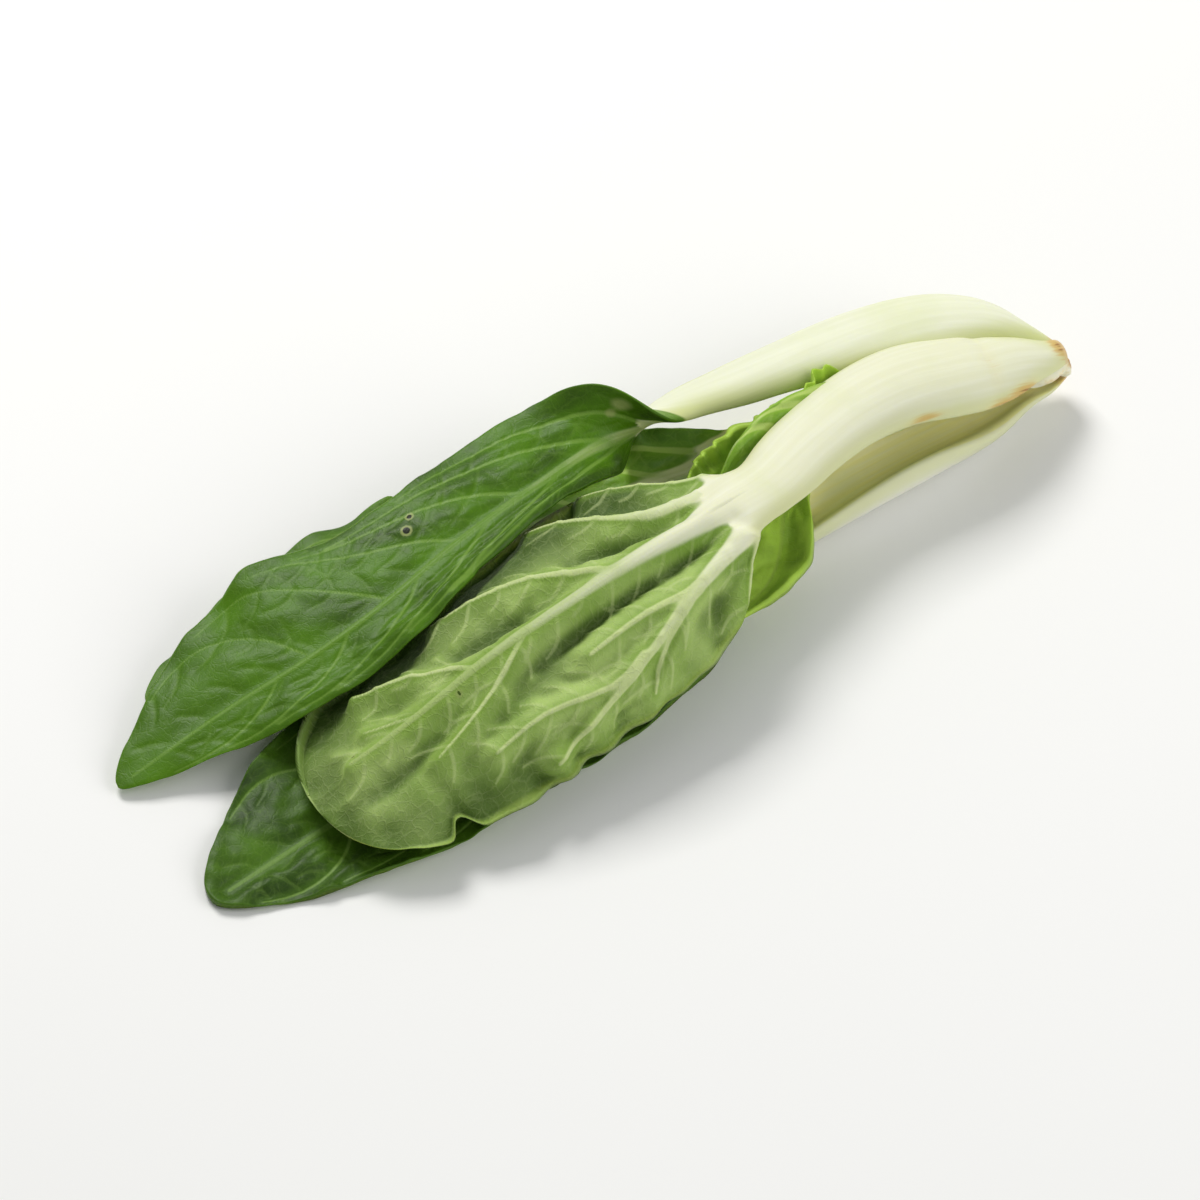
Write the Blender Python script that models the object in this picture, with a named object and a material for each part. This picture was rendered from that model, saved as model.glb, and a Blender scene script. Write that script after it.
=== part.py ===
"""One small bok choy plant lying loose on a flat surface.

The plant lies along X with its butt at the +X end and its leaf tips towards -X.
Every leaf is one piece that grew as one: a fleshy stalk, shaped like a shallow
spoon, that runs on as the thick midrib of a broad blade.  The leaves grow from a
short stem, overlap round it, and their blades lie on top of each other in a loose
heap.  All working lengths are in millimetres and are scaled to metres when the
meshes are made.
"""

import math

import bmesh
import bpy
import numpy as np

MM = 0.001

# driving dimensions, in millimetres
BUTT_HEIGHT = 10.5          # height of the stem's cut end above the surface
AXIS_RISE = 0.13            # the stem's axis climbs this much per mm towards the leaves
STEM_LENGTH = 16.0
STEM_RADIUS = 3.3           # at its widest, where the outer leaves join
STUMP_ANGLE = 8.0           # the pulled-off leaf's stump, above the near side
STUMP_HEIGHT = 3.6          # how far the stump stands out
LEAF_GAP = 0.40             # clearance between leaves that rest on each other
BLADE_THICKNESS = 1.1       # the leaf blades, with their small veins
HEAP_CELL = 1.0             # cell size of the height map that the leaves settle on
HEAP_MIN = (-260.0, -70.0)
HEAP_SIZE = (280, 160)

heap = np.zeros(HEAP_SIZE)  # highest point laid so far, per cell; the surface is 0


def curve(knots, t):
    """Cubic through the knots (t, value, ...), with finite-difference slopes."""
    knots = np.array(knots, float)
    kt, kv = knots[:, 0], knots[:, 1:]
    slope = np.gradient(kv, kt, axis=0)
    i = np.clip(np.searchsorted(kt, t, side="right") - 1, 0, len(kt) - 2)
    h = (kt[i + 1] - kt[i])[:, None]
    u = ((np.clip(t, kt[0], kt[-1]) - kt[i])[:, None]) / h
    return (
        (2 * u**3 - 3 * u**2 + 1) * kv[i]
        + (u**3 - 2 * u**2 + u) * h * slope[i]
        + (3 * u**2 - 2 * u**3) * kv[i + 1]
        + (u**3 - u**2) * h * slope[i + 1]
    )


def around(x, radius, angle):
    """Point on the plant at x, at a radius and an angle round the stem's axis.

    0 degrees is the far side (+Y), 90 degrees is the top.
    """
    a = math.radians(angle)
    z = BUTT_HEIGHT - AXIS_RISE * x + radius * math.sin(a)
    return (x, radius * math.cos(a), z)


def resample(path, rows, tip_density=1.6):
    """Frames along the leaf's midline, closer together towards the tip.

    path holds (x, y, z, facing), where facing is the direction in the YZ plane, in
    degrees from +Y, that the leaf's upper (inner) face looks in.
    """
    path = np.array(path, float)
    step = np.linalg.norm(np.diff(path[:, :3], axis=0), axis=1)
    s = np.concatenate([[0], np.cumsum(step)])
    dense_s = np.linspace(0, s[-1], 600)
    dense = curve(np.column_stack([s, path]), dense_s)
    run = np.linalg.norm(np.diff(dense[:, :3], axis=0), axis=1)
    length = np.concatenate([[0], np.cumsum(run)])
    u = np.linspace(0, 1, rows + 1)
    t = 0.75 * u + 0.25 * (1 - (1 - u) ** tip_density)
    point = np.column_stack(
        [np.interp(t * length[-1], length, dense[:, k]) for k in range(4)]
    )
    ahead = np.column_stack(
        [np.interp(t * length[-1] + 2.0, length, dense[:, k]) for k in range(3)]
    )
    behind = np.column_stack(
        [np.interp(t * length[-1] - 2.0, length, dense[:, k]) for k in range(3)]
    )
    tangent = ahead - behind
    tangent /= np.linalg.norm(tangent, axis=1)[:, None]
    facing = np.radians(point[:, 3])
    normal = np.column_stack([0 * facing, np.cos(facing), np.sin(facing)])
    normal -= np.sum(normal * tangent, axis=1)[:, None] * tangent
    normal /= np.linalg.norm(normal, axis=1)[:, None]
    side = np.cross(normal, tangent)
    return t, length[-1], point[:, :3], tangent, normal, side


def tip_round(t, start, power):
    """Factor that closes the outline at the tip: 1 before start, 0 at t = 1."""
    u = np.clip((t - start) / (1 - start), 0, 1)
    return np.sqrt(np.clip(1 - u**power, 0, 1))


def dense(grid, n):
    """Bilinear points inside a grid of points, n steps per cell each way."""
    for axis in (0, 1):
        count = grid.shape[axis]
        f = np.linspace(0, count - 1, (count - 1) * n + 1)
        i = np.minimum(f.astype(int), count - 2)
        w = (f - i).reshape([-1 if k == axis else 1 for k in range(grid.ndim)])
        grid = np.take(grid, i, axis) * (1 - w) + np.take(grid, i + 1, axis) * w
    return grid


def heap_cell(points):
    i = ((points[..., 0] - HEAP_MIN[0]) / HEAP_CELL).astype(int)
    j = ((points[..., 1] - HEAP_MIN[1]) / HEAP_CELL).astype(int)
    return (
        np.clip(i, 0, HEAP_SIZE[0] - 1),
        np.clip(j, 0, HEAP_SIZE[1] - 1),
    )


def settle(inner, outer, clear_from):
    """Lift a leaf's points so that it lies on what is already in the heap.

    The lift is spread to the neighbours so the leaf drapes instead of kinking.  Up
    to row clear_from the leaf only has to clear the surface that it all lies on:
    there the stalks stand round the stem, side by side and not stacked.
    """
    n = 6
    both = [dense(g, n) for g in (inner, outer)]
    free = np.arange(both[0].shape[0]) < clear_from * n
    need = np.zeros(both[0].shape[:2])
    top = heap.copy()
    for di, dj in ((1, 0), (-1, 0), (0, 1), (0, -1)):
        top = np.maximum(top, np.roll(heap, (di, dj), (0, 1)))
    for points in both:
        under = top[heap_cell(points)] + np.where(top[heap_cell(points)] > 0, LEAF_GAP, 0)
        under[free] = 0
        need = np.maximum(need, under - points[..., 2])
    rows, cols = inner.shape[:2]
    lift = np.zeros((rows, cols))
    for i in range(rows):
        for j in range(cols):
            a, b = max(0, (i - 1) * n), (i + 1) * n + 1
            c, d = max(0, (j - 1) * n), (j + 1) * n + 1
            lift[i, j] = need[a:b, c:d].max()
    for _ in range(3):
        pad = np.pad(lift, 1, mode="edge")
        blur = (pad[:-2, 1:-1] + pad[2:, 1:-1] + pad[1:-1, :-2] + pad[1:-1, 2:]) / 4
        lift = np.maximum(lift, blur)
    inner[..., 2] += lift
    outer[..., 2] += lift
    for grid in (inner, outer):
        points = dense(grid, 12)
        np.maximum.at(heap, heap_cell(points), points[..., 2])
    return lift.max()


def body_from_grids(name, inner, outer, colour, roughness):
    """Closed body between two grids that share their side edges and their tip."""
    rows, cols = inner.shape[:2]
    bm = bmesh.new()
    upper = [[bm.verts.new(inner[i, j] * MM) for j in range(cols)] for i in range(rows - 1)]
    lower = [
        [upper[i][j] if j in (0, cols - 1) else bm.verts.new(outer[i, j] * MM)
         for j in range(cols)]
        for i in range(rows - 1)
    ]
    tip = bm.verts.new(inner[-1].mean(axis=0) * MM)
    for i in range(rows - 2):
        for j in range(cols - 1):
            for sheet, flip in ((upper, False), (lower, True)):
                quad = (sheet[i][j], sheet[i + 1][j], sheet[i + 1][j + 1], sheet[i][j + 1])
                bm.faces.new(quad[::-1] if flip else quad)
    for j in range(cols - 1):
        bm.faces.new((upper[-1][j], tip, upper[-1][j + 1]))
        bm.faces.new((lower[-1][j], lower[-1][j + 1], tip))
    bm.faces.new(lower[0][::-1][:-1] + upper[0][:-1])
    bmesh.ops.triangulate(bm, faces=bm.faces)
    bmesh.ops.recalc_face_normals(bm, faces=bm.faces)
    mesh = bpy.data.meshes.new(name)
    bm.to_mesh(mesh)
    bm.free()
    mesh.shade_smooth()
    mesh.set_sharp_from_angle(angle=math.radians(60))
    add_object(name, mesh, colour, roughness)


def add_object(name, mesh, colour, roughness):
    material = bpy.data.materials.new(name)
    material.use_nodes = True
    shader = material.node_tree.nodes["Principled BSDF"]
    shader.inputs["Base Color"].default_value = (*colour, 1.0)
    shader.inputs["Roughness"].default_value = roughness
    shader.inputs["Metallic"].default_value = 0.0
    mesh.materials.append(material)
    bpy.context.scene.collection.objects.link(bpy.data.objects.new(name, mesh))


def leaf(name, path, outline, cup, stalk, rib, tip, rows=22, cols=8, clear_from=0, blunt=3.0,
         colour=(0.16, 0.30, 0.07), roughness=0.45):
    """Lay one leaf on the heap.

    path     midline points (x, y, z, facing)
    outline  knots (t, left, right): half-widths along the leaf, t = 0 butt, 1 tip
    cup      knots (t, left, right): how far each half curls towards the inner face,
             as the angle in degrees at its edge; negative curls it back
    stalk    knots (t, thickness) of the middle of the leaf
    rib      half-width of the thick middle, as a part of the stalk's width and in mm
             on the blade
    tip      (start, power) of the rounded tip
    blunt    how thick the stalk stays towards its edges
    """
    t, length, point, tangent, normal, side = resample(path, rows)
    width = curve(outline, t) * tip_round(t, *tip)[:, None]
    width = np.maximum(width, 0.02)
    curl = np.radians(curve(cup, t))
    middle = curve(stalk, t)[:, 0]
    v = np.sin(np.linspace(-1, 1, cols + 1) * math.pi / 2 * 0.82) / math.sin(math.pi / 2 * 0.82)
    inner = np.zeros((rows + 1, cols + 1, 3))
    outer = np.zeros_like(inner)
    for i in range(rows + 1):
        w = np.where(v < 0, width[i, 0], width[i, 1])
        angle = np.where(v < 0, curl[i, 0], curl[i, 1])
        angle = np.where(np.abs(angle) < 1e-3, 1e-3, angle)
        across = (w / angle * np.sin(np.abs(v) * angle)) * np.sign(v)
        up = w / angle * (1 - np.cos(v * angle))
        tilt = v * angle
        centre = point[i] + across[:, None] * side[i] + up[:, None] * normal[i]
        out = normal[i] * np.cos(tilt)[:, None] - side[i] * np.sin(tilt)[:, None]
        edge = np.sqrt(np.clip(1 - np.abs(v) ** blunt, 0, 1))
        on_stalk = middle[i] * edge
        on_blade = np.minimum(
            BLADE_THICKNESS + (middle[i] - BLADE_THICKNESS) * np.exp(-((v * w / rib) ** 2)),
            middle[i],
        ) * np.clip(edge * 3, 0, 1)
        broad = np.clip((w - 11.0) / 9.0, 0, 1)
        thickness = on_stalk * (1 - broad) + on_blade * broad
        closing = min(1.0, width[i].mean() / 3.0)
        half = (0.5 * thickness * closing)[:, None]
        inner[i] = centre + out * half
        outer[i] = centre - out * half
    inner[-1] = outer[-1] = point[-1]
    lifted = settle(inner, outer, clear_from)
    body_from_grids(name, inner, outer, colour, roughness)
    print(f"{name}: {length:.0f} mm long, raised by at most {lifted:.1f} mm")


def stem():
    """Short turned stem: a blunt cut end, widest where the leaves join, then a cone.

    On its near side it carries the stump of an outer leaf that was pulled off.
    """
    profile = [
        (0.6, 0.0), (0.6, 1.6), (0.2, 2.5), (-1.2, 2.9), (-4.0, STEM_RADIUS),
        (-7.0, 3.1), (-10.0, 2.4), (-13.0, 1.6), (-STEM_LENGTH, 0.5), (-STEM_LENGTH - 0.4, 0.0),
    ]
    bm = bmesh.new()
    verts = [bm.verts.new((x * MM, r * MM, 0)) for x, r in profile]
    edges = [bm.edges.new(pair) for pair in zip(verts, verts[1:])]
    bmesh.ops.spin(bm, geom=verts + edges, cent=(0, 0, 0), axis=(1, 0, 0),
                   angle=2 * math.pi, steps=32, use_merge=True)
    bmesh.ops.remove_doubles(bm, verts=bm.verts, dist=1e-6)
    bmesh.ops.triangulate(bm, faces=bm.faces)
    bmesh.ops.recalc_face_normals(bm, faces=bm.faces)
    for vert in bm.verts:
        x = vert.co.x / MM
        turn = math.atan2(vert.co.z, -vert.co.y) - math.radians(STUMP_ANGLE)
        along = math.exp(-(((x + 6.0) / 4.6) ** 2))
        swell = STUMP_HEIGHT * along * math.exp(-((turn / math.radians(26)) ** 2))
        radius = math.hypot(vert.co.y, vert.co.z)
        if radius > 1e-5:
            vert.co.y *= 1 + swell * MM / radius * min(1, radius / (2 * MM))
            vert.co.z *= 1 + swell * MM / radius * min(1, radius / (2 * MM))
        vert.co.z += (BUTT_HEIGHT * MM) - AXIS_RISE * vert.co.x
    mesh = bpy.data.meshes.new("stem_base")
    bm.to_mesh(mesh)
    bm.free()
    mesh.shade_smooth()
    add_object("stem_base", mesh, (0.78, 0.74, 0.48), 0.5)


for old in list(bpy.data.objects):
    bpy.data.objects.remove(old, do_unlink=True)

stem()

# Outer leaf that lies at the bottom with its inner face up: its stalk is a trough on
# the surface, and its blade lies flat, folded a little along the midrib.
leaf(
    "outer_leaf_bottom",
    path=[
        (*around(-0.6, 4.6, 258), 78), (*around(-5, 6.4, 258), 80), (-11, -1.3, 5.0, 82),
        (-20, -1.2, 3.1, 84), (-40, -1, 2.9, 86), (-62, -1.2, 2.9, 90), (-90, -2.6, 2.4, 90),
        (-130, -8, 2.0, 90), (-190, -14, 2.0, 92), (-240, -19, 1.2, 90),
    ],
    outline=[
        (0, 3.0, 3.0), (0.04, 4.8, 4.8), (0.09, 8.2, 8.2), (0.16, 12.6, 13), (0.26, 13, 13.6),
        (0.34, 11, 11.8), (0.38, 11, 12), (0.44, 18, 18), (0.55, 26, 23), (0.7, 29, 24),
        (0.86, 27, 21), (1, 20, 14),
    ],
    cup=[(0, 42, 42), (0.08, 60, 60), (0.18, 86, 92), (0.34, 62, 70), (0.45, 22, 18),
         (0.7, 16, 12), (1, 5, 5)],
    stalk=[(0, 0.9), (0.03, 1.8), (0.08, 3.9), (0.16, 5.0), (0.34, 3.8), (0.45, 2.8),
           (0.7, 1.9), (1, 0.9)],
    rib=6, tip=(0.74, 2.2), blunt=5.0, colour=(0.10, 0.22, 0.05),
)

# Outer leaf on the far side of that one, hidden under the heap.
leaf(
    "outer_leaf_back",
    path=[
        (*around(-0.6, 3.4, 326), 146), (*around(-5, 4.8, 326), 146), (-11, 8.4, 8.0, 140),
        (-20, 12.8, 6.0, 134), (-40, 17, 3.8, 118), (-62, 18, 3.2, 108), (-85, 20, 3.4, 100),
        (-125, 25, 6.0, 94), (-165, 30, 6.0, 90), (-200, 33, 3.0, 90), (-222, 35, 1.6, 90),
    ],
    outline=[
        (0, 2.2, 2.2), (0.04, 3.4, 3.4), (0.09, 6.5, 6.5), (0.16, 8.6, 8.6), (0.3, 7.4, 7.4),
        (0.38, 7.5, 7.5), (0.44, 15, 15), (0.55, 24, 24), (0.7, 25, 26), (0.86, 22, 23),
        (1, 16, 16),
    ],
    cup=[(0, 36, 36), (0.1, 45, 45), (0.3, 55, 55), (0.42, 30, 30), (0.55, -14, -14),
         (0.75, -20, -20), (1, -8, -8)],
    stalk=[(0, 0.8), (0.03, 1.5), (0.08, 2.9), (0.16, 4.4), (0.38, 3.4), (0.5, 2.4),
           (0.75, 1.7), (1, 0.9)],
    rib=5, tip=(0.72, 2.2), clear_from=7, colour=(0.10, 0.22, 0.05),
)

# Inner leaf on the far side, lying on the hidden outer one.
leaf(
    "inner_leaf_back",
    path=[
        (*around(-7.5, 4.5, 10), 190), (*around(-12, 6.6, 6), 186), (-20, 9.6, 12.6, 176),
        (-35, 12.4, 12.0, 160), (-60, 15, 11.0, 136), (-90, 18, 10.0, 110),
        (-125, 22, 11, 98), (-165, 27, 11.0, 92), (-192, 30, 7.0, 90),
    ],
    outline=[
        (0, 2.4, 2.4), (0.06, 3.6, 3.6), (0.14, 5.4, 5.4), (0.28, 5.4, 5.4), (0.36, 6, 6),
        (0.46, 13, 13), (0.6, 20, 22), (0.78, 21, 23), (1, 14, 15),
    ],
    cup=[(0, 36, 36), (0.15, 45, 45), (0.35, 40, 40), (0.5, 5, 5), (0.75, -16, -18), (1, -5, -5)],
    stalk=[(0, 0.8), (0.06, 1.5), (0.14, 2.8), (0.35, 2.8), (0.5, 2.0), (0.75, 1.5), (1, 0.9)],
    rib=4, tip=(0.72, 2.2), clear_from=6, colour=(0.13, 0.28, 0.05),
)

# Inner leaf below the top one: its far margin stands up as a frill and its near half
# hangs out as a lobe.
leaf(
    "inner_leaf_lower",
    path=[
        (*around(-7.5, 4.4, 300), 118), (*around(-11, 5.2, 300), 118), (-18, 4.0, 8.6, 114),
        (-30, 4.8, 9.2, 112), (-48, 4.6, 11.0, 112), (-62, 3.6, 12.8, 112),
        (-75, 1.4, 14, 112), (-100, -3, 15, 108), (-130, -7, 16, 98), (-158, -9, 12, 92),
    ],
    outline=[
        (0, 2.6, 2.6), (0.05, 3.4, 3.4), (0.12, 4.6, 4.6), (0.19, 5.2, 4.6), (0.25, 12, 4.6),
        (0.31, 17, 4.6), (0.4, 18, 6), (0.48, 19, 12), (0.56, 20, 19), (0.68, 21, 21),
        (0.82, 20, 20), (1, 14, 14),
    ],
    cup=[(0, 38, 38), (0.15, 50, 50), (0.25, 70, 40), (0.4, 72, 35), (0.5, 50, 30),
         (0.6, 25, 20), (0.7, 10, 10), (1, 5, 5)],
    stalk=[(0, 0.8), (0.06, 1.4), (0.14, 2.4), (0.3, 2.6), (0.5, 2.0), (0.75, 1.5), (1, 0.9)],
    rib=4, tip=(0.72, 2.2), clear_from=6, colour=(0.13, 0.28, 0.05),
)

# Three small heart leaves, one inside the other, between the inner leaves.
leaf(
    "heart_leaf_outer",
    path=[
        (*around(-11, 3.6, 20), 200), (-16, 3.6, 13.2, 190), (-30, 4.2, 12.6, 150),
        (-50, 4.0, 14.2, 120), (-72, 1.4, 17, 110), (-92, -2, 18.4, 104),
    ],
    outline=[(0, 1.3, 1.3), (0.1, 2.2, 2.2), (0.3, 2.4, 2.4), (0.42, 3.6, 3.6), (0.65, 6.5, 6.5),
             (0.85, 6.5, 6.5), (1, 4, 4)],
    cup=[(0, 30, 30), (0.3, 40, 40), (0.6, 36, 36), (1, 20, 20)],
    stalk=[(0, 0.7), (0.1, 1.3), (0.4, 1.5), (0.7, 1.2), (1, 0.9)],
    rib=3, tip=(0.7, 2.2), rows=14, cols=6, clear_from=5, colour=(0.20, 0.38, 0.07),
)
leaf(
    "heart_leaf_middle",
    path=[
        (*around(-11, 3.6, 235), 55), (-16, -1.4, 10.8, 60), (-30, 0.4, 13.4, 70),
        (-50, 2.4, 17.0, 84), (-66, 1.6, 19.4, 90),
    ],
    outline=[(0, 1.2, 1.2), (0.1, 1.9, 1.9), (0.3, 2.0, 2.0), (0.45, 2.8, 2.8), (0.7, 4.8, 4.8),
             (0.88, 4.6, 4.6), (1, 4, 4)],
    cup=[(0, 30, 30), (0.3, 30, 30), (0.6, 25, 25), (1, 10, 10)],
    stalk=[(0, 0.7), (0.1, 1.1), (0.4, 1.2), (0.7, 1.1), (1, 0.9)],
    rib=3, tip=(0.7, 2.2), rows=12, cols=6, clear_from=5, colour=(0.22, 0.42, 0.08),
)
leaf(
    "heart_leaf_small",
    path=[
        (*around(-13, 3.0, 110), 290), (-18, 0.2, 15.2, 290), (-30, 1.8, 16.6, 288),
        (-42, 2.6, 18.4, 280), (-53, 2.8, 20.2, 275),
    ],
    outline=[(0, 1.1, 1.1), (0.15, 1.6, 1.6), (0.35, 1.9, 1.9), (0.7, 3.6, 3.6), (1, 3, 3)],
    cup=[(0, 30, 30), (0.4, 30, 30), (1, 15, 15)],
    stalk=[(0, 0.6), (0.15, 1.0), (0.6, 1.0), (1, 0.8)],
    rib=3, tip=(0.65, 2.2), rows=10, cols=6, clear_from=4, colour=(0.26, 0.46, 0.09),
)

# Inner leaf right under the top one, underside up.
leaf(
    "inner_leaf_upper",
    path=[
        (*around(-7.5, 4.3, 92), 272), (*around(-12, 6.0, 92), 272), (-20, -0.6, 18.6, 272),
        (-35, 0.8, 22.2, 272), (-60, -0.6, 24.0, 272), (-90, -7.6, 25.6, 270),
        (-125, -10, 26.0, 270), (-160, -11, 21.0, 270), (-184, -11, 14.0, 270),
    ],
    outline=[
        (0, 2.4, 2.4), (0.06, 3.8, 3.8), (0.14, 5.4, 5.4), (0.3, 5.2, 5.2), (0.42, 5.0, 5.0),
        (0.5, 13, 13), (0.62, 24, 22), (0.8, 26, 24), (1, 16, 16),
    ],
    cup=[(0, 36, 36), (0.15, 48, 48), (0.42, 44, 44), (0.6, 52, 50), (0.8, 48, 46), (1, 20, 20)],
    stalk=[(0, 0.8), (0.06, 1.5), (0.14, 2.6), (0.4, 2.6), (0.55, 2.0), (0.75, 1.5), (1, 0.9)],
    rib=4, tip=(0.72, 2.2), clear_from=6, colour=(0.18, 0.32, 0.09),
)

# The outer leaf on top: underside up, its stalk the broadest, its blade a low dome.
leaf(
    "outer_leaf_top",
    path=[
        (*around(-0.6, 4.8, 110), 290), (-5, -2.1, 17.5, 287), (-12, -2.2, 21.2, 284),
        (-20, -2.2, 24.0, 282), (-31, -1.4, 26.8, 280), (-43, 0.2, 28.9, 280),
        (-56, 0.3, 29.3, 278), (-70, -2.4, 29.6, 276), (-87, -8, 30.6, 274),
        (-97, -9.6, 32, 272), (-135, -13, 33, 270), (-171, -14, 25, 268),
        (-187, -14, 19.5, 268), (-210, -11, 9.5, 268),
    ],
    outline=[
        (0, 3.2, 3.2), (0.04, 4.4, 4.4), (0.08, 5.8, 5.6), (0.115, 8.4, 8.2), (0.16, 9.8, 10.8),
        (0.22, 9.4, 12), (0.3, 8.8, 11.4), (0.36, 8.8, 11), (0.42, 8.6, 10), (0.455, 11, 12.5),
        (0.5, 23, 22), (0.56, 29, 28), (0.66, 32, 31), (0.8, 32, 31), (0.92, 26, 27),
        (1, 19, 21),
    ],
    cup=[(0, 42, 42), (0.1, 50, 50), (0.3, 52, 52), (0.43, 40, 40), (0.52, 55, 50),
         (0.7, 64, 58), (0.85, 54, 50), (1, 10, 10)],
    stalk=[(0, 0.9), (0.03, 1.8), (0.08, 3.9), (0.16, 5.4), (0.34, 4.6), (0.44, 4.0),
           (0.6, 2.8), (0.8, 1.9), (1, 0.9)],
    rib=6, tip=(0.8, 2.6), rows=26, clear_from=9, colour=(0.30, 0.42, 0.16),
)

# The outer leaf on the far side: its stalk bows out from the butt, then the leaf turns
# over so that its blade lies inner face up, across the top leaf's far flank.
leaf(
    "outer_leaf_far",
    path=[
        (*around(-0.6, 3.5, 40), 224), (-5, 6.5, 17.6, 232), (-11, 11.0, 22.6, 242),
        (-20, 15.2, 25.6, 250), (-30, 18.4, 26.6, 254), (-40, 20.8, 26.4, 256),
        (-60, 24.4, 24.5, 256), (-74, 26.6, 22.6, 238), (-84, 27.6, 22.2, 205),
        (-94, 28, 22.6, 156), (-104, 28, 24.0, 122), (-125, 27, 25.5, 98),
        (-150, 22.5, 25.5, 94), (-171, 19.5, 21.5, 96), (-191, 19.5, 16.5, 98),
        (-210, 22, 11, 96), (-240, 19, 2.4, 94),
    ],
    outline=[
        (0, 2.3, 2.3), (0.03, 3.8, 4.6), (0.07, 6.4, 7.8), (0.12, 8.4, 9.6), (0.2, 9.0, 9.6),
        (0.3, 7.6, 7.6), (0.35, 6.2, 6.2), (0.375, 8, 10), (0.42, 15, 14), (0.48, 21, 16),
        (0.54, 23, 18), (0.6, 17, 18), (0.68, 16, 18), (0.8, 25, 18), (0.9, 22, 15),
        (1, 14, 8),
    ],
    cup=[(0, 36, 36), (0.1, 46, 46), (0.28, 46, 46), (0.37, 20, 10), (0.42, -14, -20),
         (0.5, -30, -44), (0.65, -22, -44), (0.85, -14, -16), (1, 0, 0)],
    stalk=[(0, 0.8), (0.03, 1.6), (0.08, 3.2), (0.16, 4.8), (0.34, 3.6), (0.42, 2.6),
           (0.6, 2.0), (0.8, 1.5), (1, 0.9)],
    rib=5, tip=(0.74, 1.8), rows=30, clear_from=11, colour=(0.09, 0.20, 0.05),
)

# Move the finished heap so that the middle of its footprint is at the origin.
objects = list(bpy.context.scene.collection.objects)
corners = np.array([v.co[:] for o in objects for v in o.data.vertices])
low, high = corners.min(axis=0), corners.max(axis=0)
shift = np.array([-(low[0] + high[0]) / 2, -(low[1] + high[1]) / 2, -low[2]])
for o in objects:
    o.location = shift
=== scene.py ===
import math

import bpy
import numpy as np
from mathutils import Matrix, Vector


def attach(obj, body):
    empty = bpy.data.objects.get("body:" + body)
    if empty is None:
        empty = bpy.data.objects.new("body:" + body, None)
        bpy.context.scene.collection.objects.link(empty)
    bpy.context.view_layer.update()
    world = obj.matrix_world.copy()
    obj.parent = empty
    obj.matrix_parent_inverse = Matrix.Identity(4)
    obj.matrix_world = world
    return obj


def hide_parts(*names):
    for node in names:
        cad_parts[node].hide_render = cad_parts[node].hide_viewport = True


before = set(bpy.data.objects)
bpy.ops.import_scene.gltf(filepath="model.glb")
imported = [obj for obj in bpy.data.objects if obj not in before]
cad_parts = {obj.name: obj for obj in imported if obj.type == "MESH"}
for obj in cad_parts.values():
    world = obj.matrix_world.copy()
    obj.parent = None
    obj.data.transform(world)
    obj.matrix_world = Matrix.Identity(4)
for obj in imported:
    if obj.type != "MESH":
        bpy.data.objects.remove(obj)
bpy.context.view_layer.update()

# The stem: the plant's short foot, a blunt cone of pale solid flesh that all the leaves
# grow from.  Its cut end has dried and browned, and on its near side it keeps the stump
# of an outer leaf that was pulled off.
MM = 0.001
FLAT_SCALE = 0.01               # units of the flat map to the mm
PLACE = (119.7, -6.50, -0.37)   # where the butt's axis stands in the frame, in mm
BUTT_HEIGHT = 10.5              # height of the cut end in the plant's own mm
AXIS_RISE = 0.13                # the axis climbs this much per mm towards the leaves
STUMP_ANGLE = 22.0              # degrees up from the near side
STUMP_HEIGHT = 4.2              # mm that the stump swells out
NUB_BELOW = 0.75                # radians from the stump down to the nub beside the cut
NUB_HEIGHT = 1.9


def put_mesh(name, points, quads, tris, layers, flat, finish):
    """A piece of the plant from its points in mm, its faces and what its finish reads.

    layers holds one number per point under each name; flat holds each point's place on
    the piece when it is laid out flat, in mm along and across, which becomes the UV map.
    """
    mesh = bpy.data.meshes.new(name)
    places = (points + np.array(PLACE)) * MM
    mesh.from_pydata(places.tolist(), [], quads.tolist() + tris.tolist())
    for layer, values in layers.items():
        mesh.attributes.new(layer, "FLOAT", "POINT").data.foreach_set(
            "value", values.astype(np.float32))
    corner = np.zeros(len(mesh.loops), np.int32)
    mesh.loops.foreach_get("vertex_index", corner)
    uv = mesh.uv_layers.new(name="flat")
    uv.data.foreach_set("uv", (flat[corner] * FLAT_SCALE).astype(np.float32).ravel())
    mesh.shade_smooth()
    mesh.materials.append(finish)
    piece = bpy.data.objects.new(name, mesh)
    bpy.context.scene.collection.objects.link(piece)
    return piece


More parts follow.
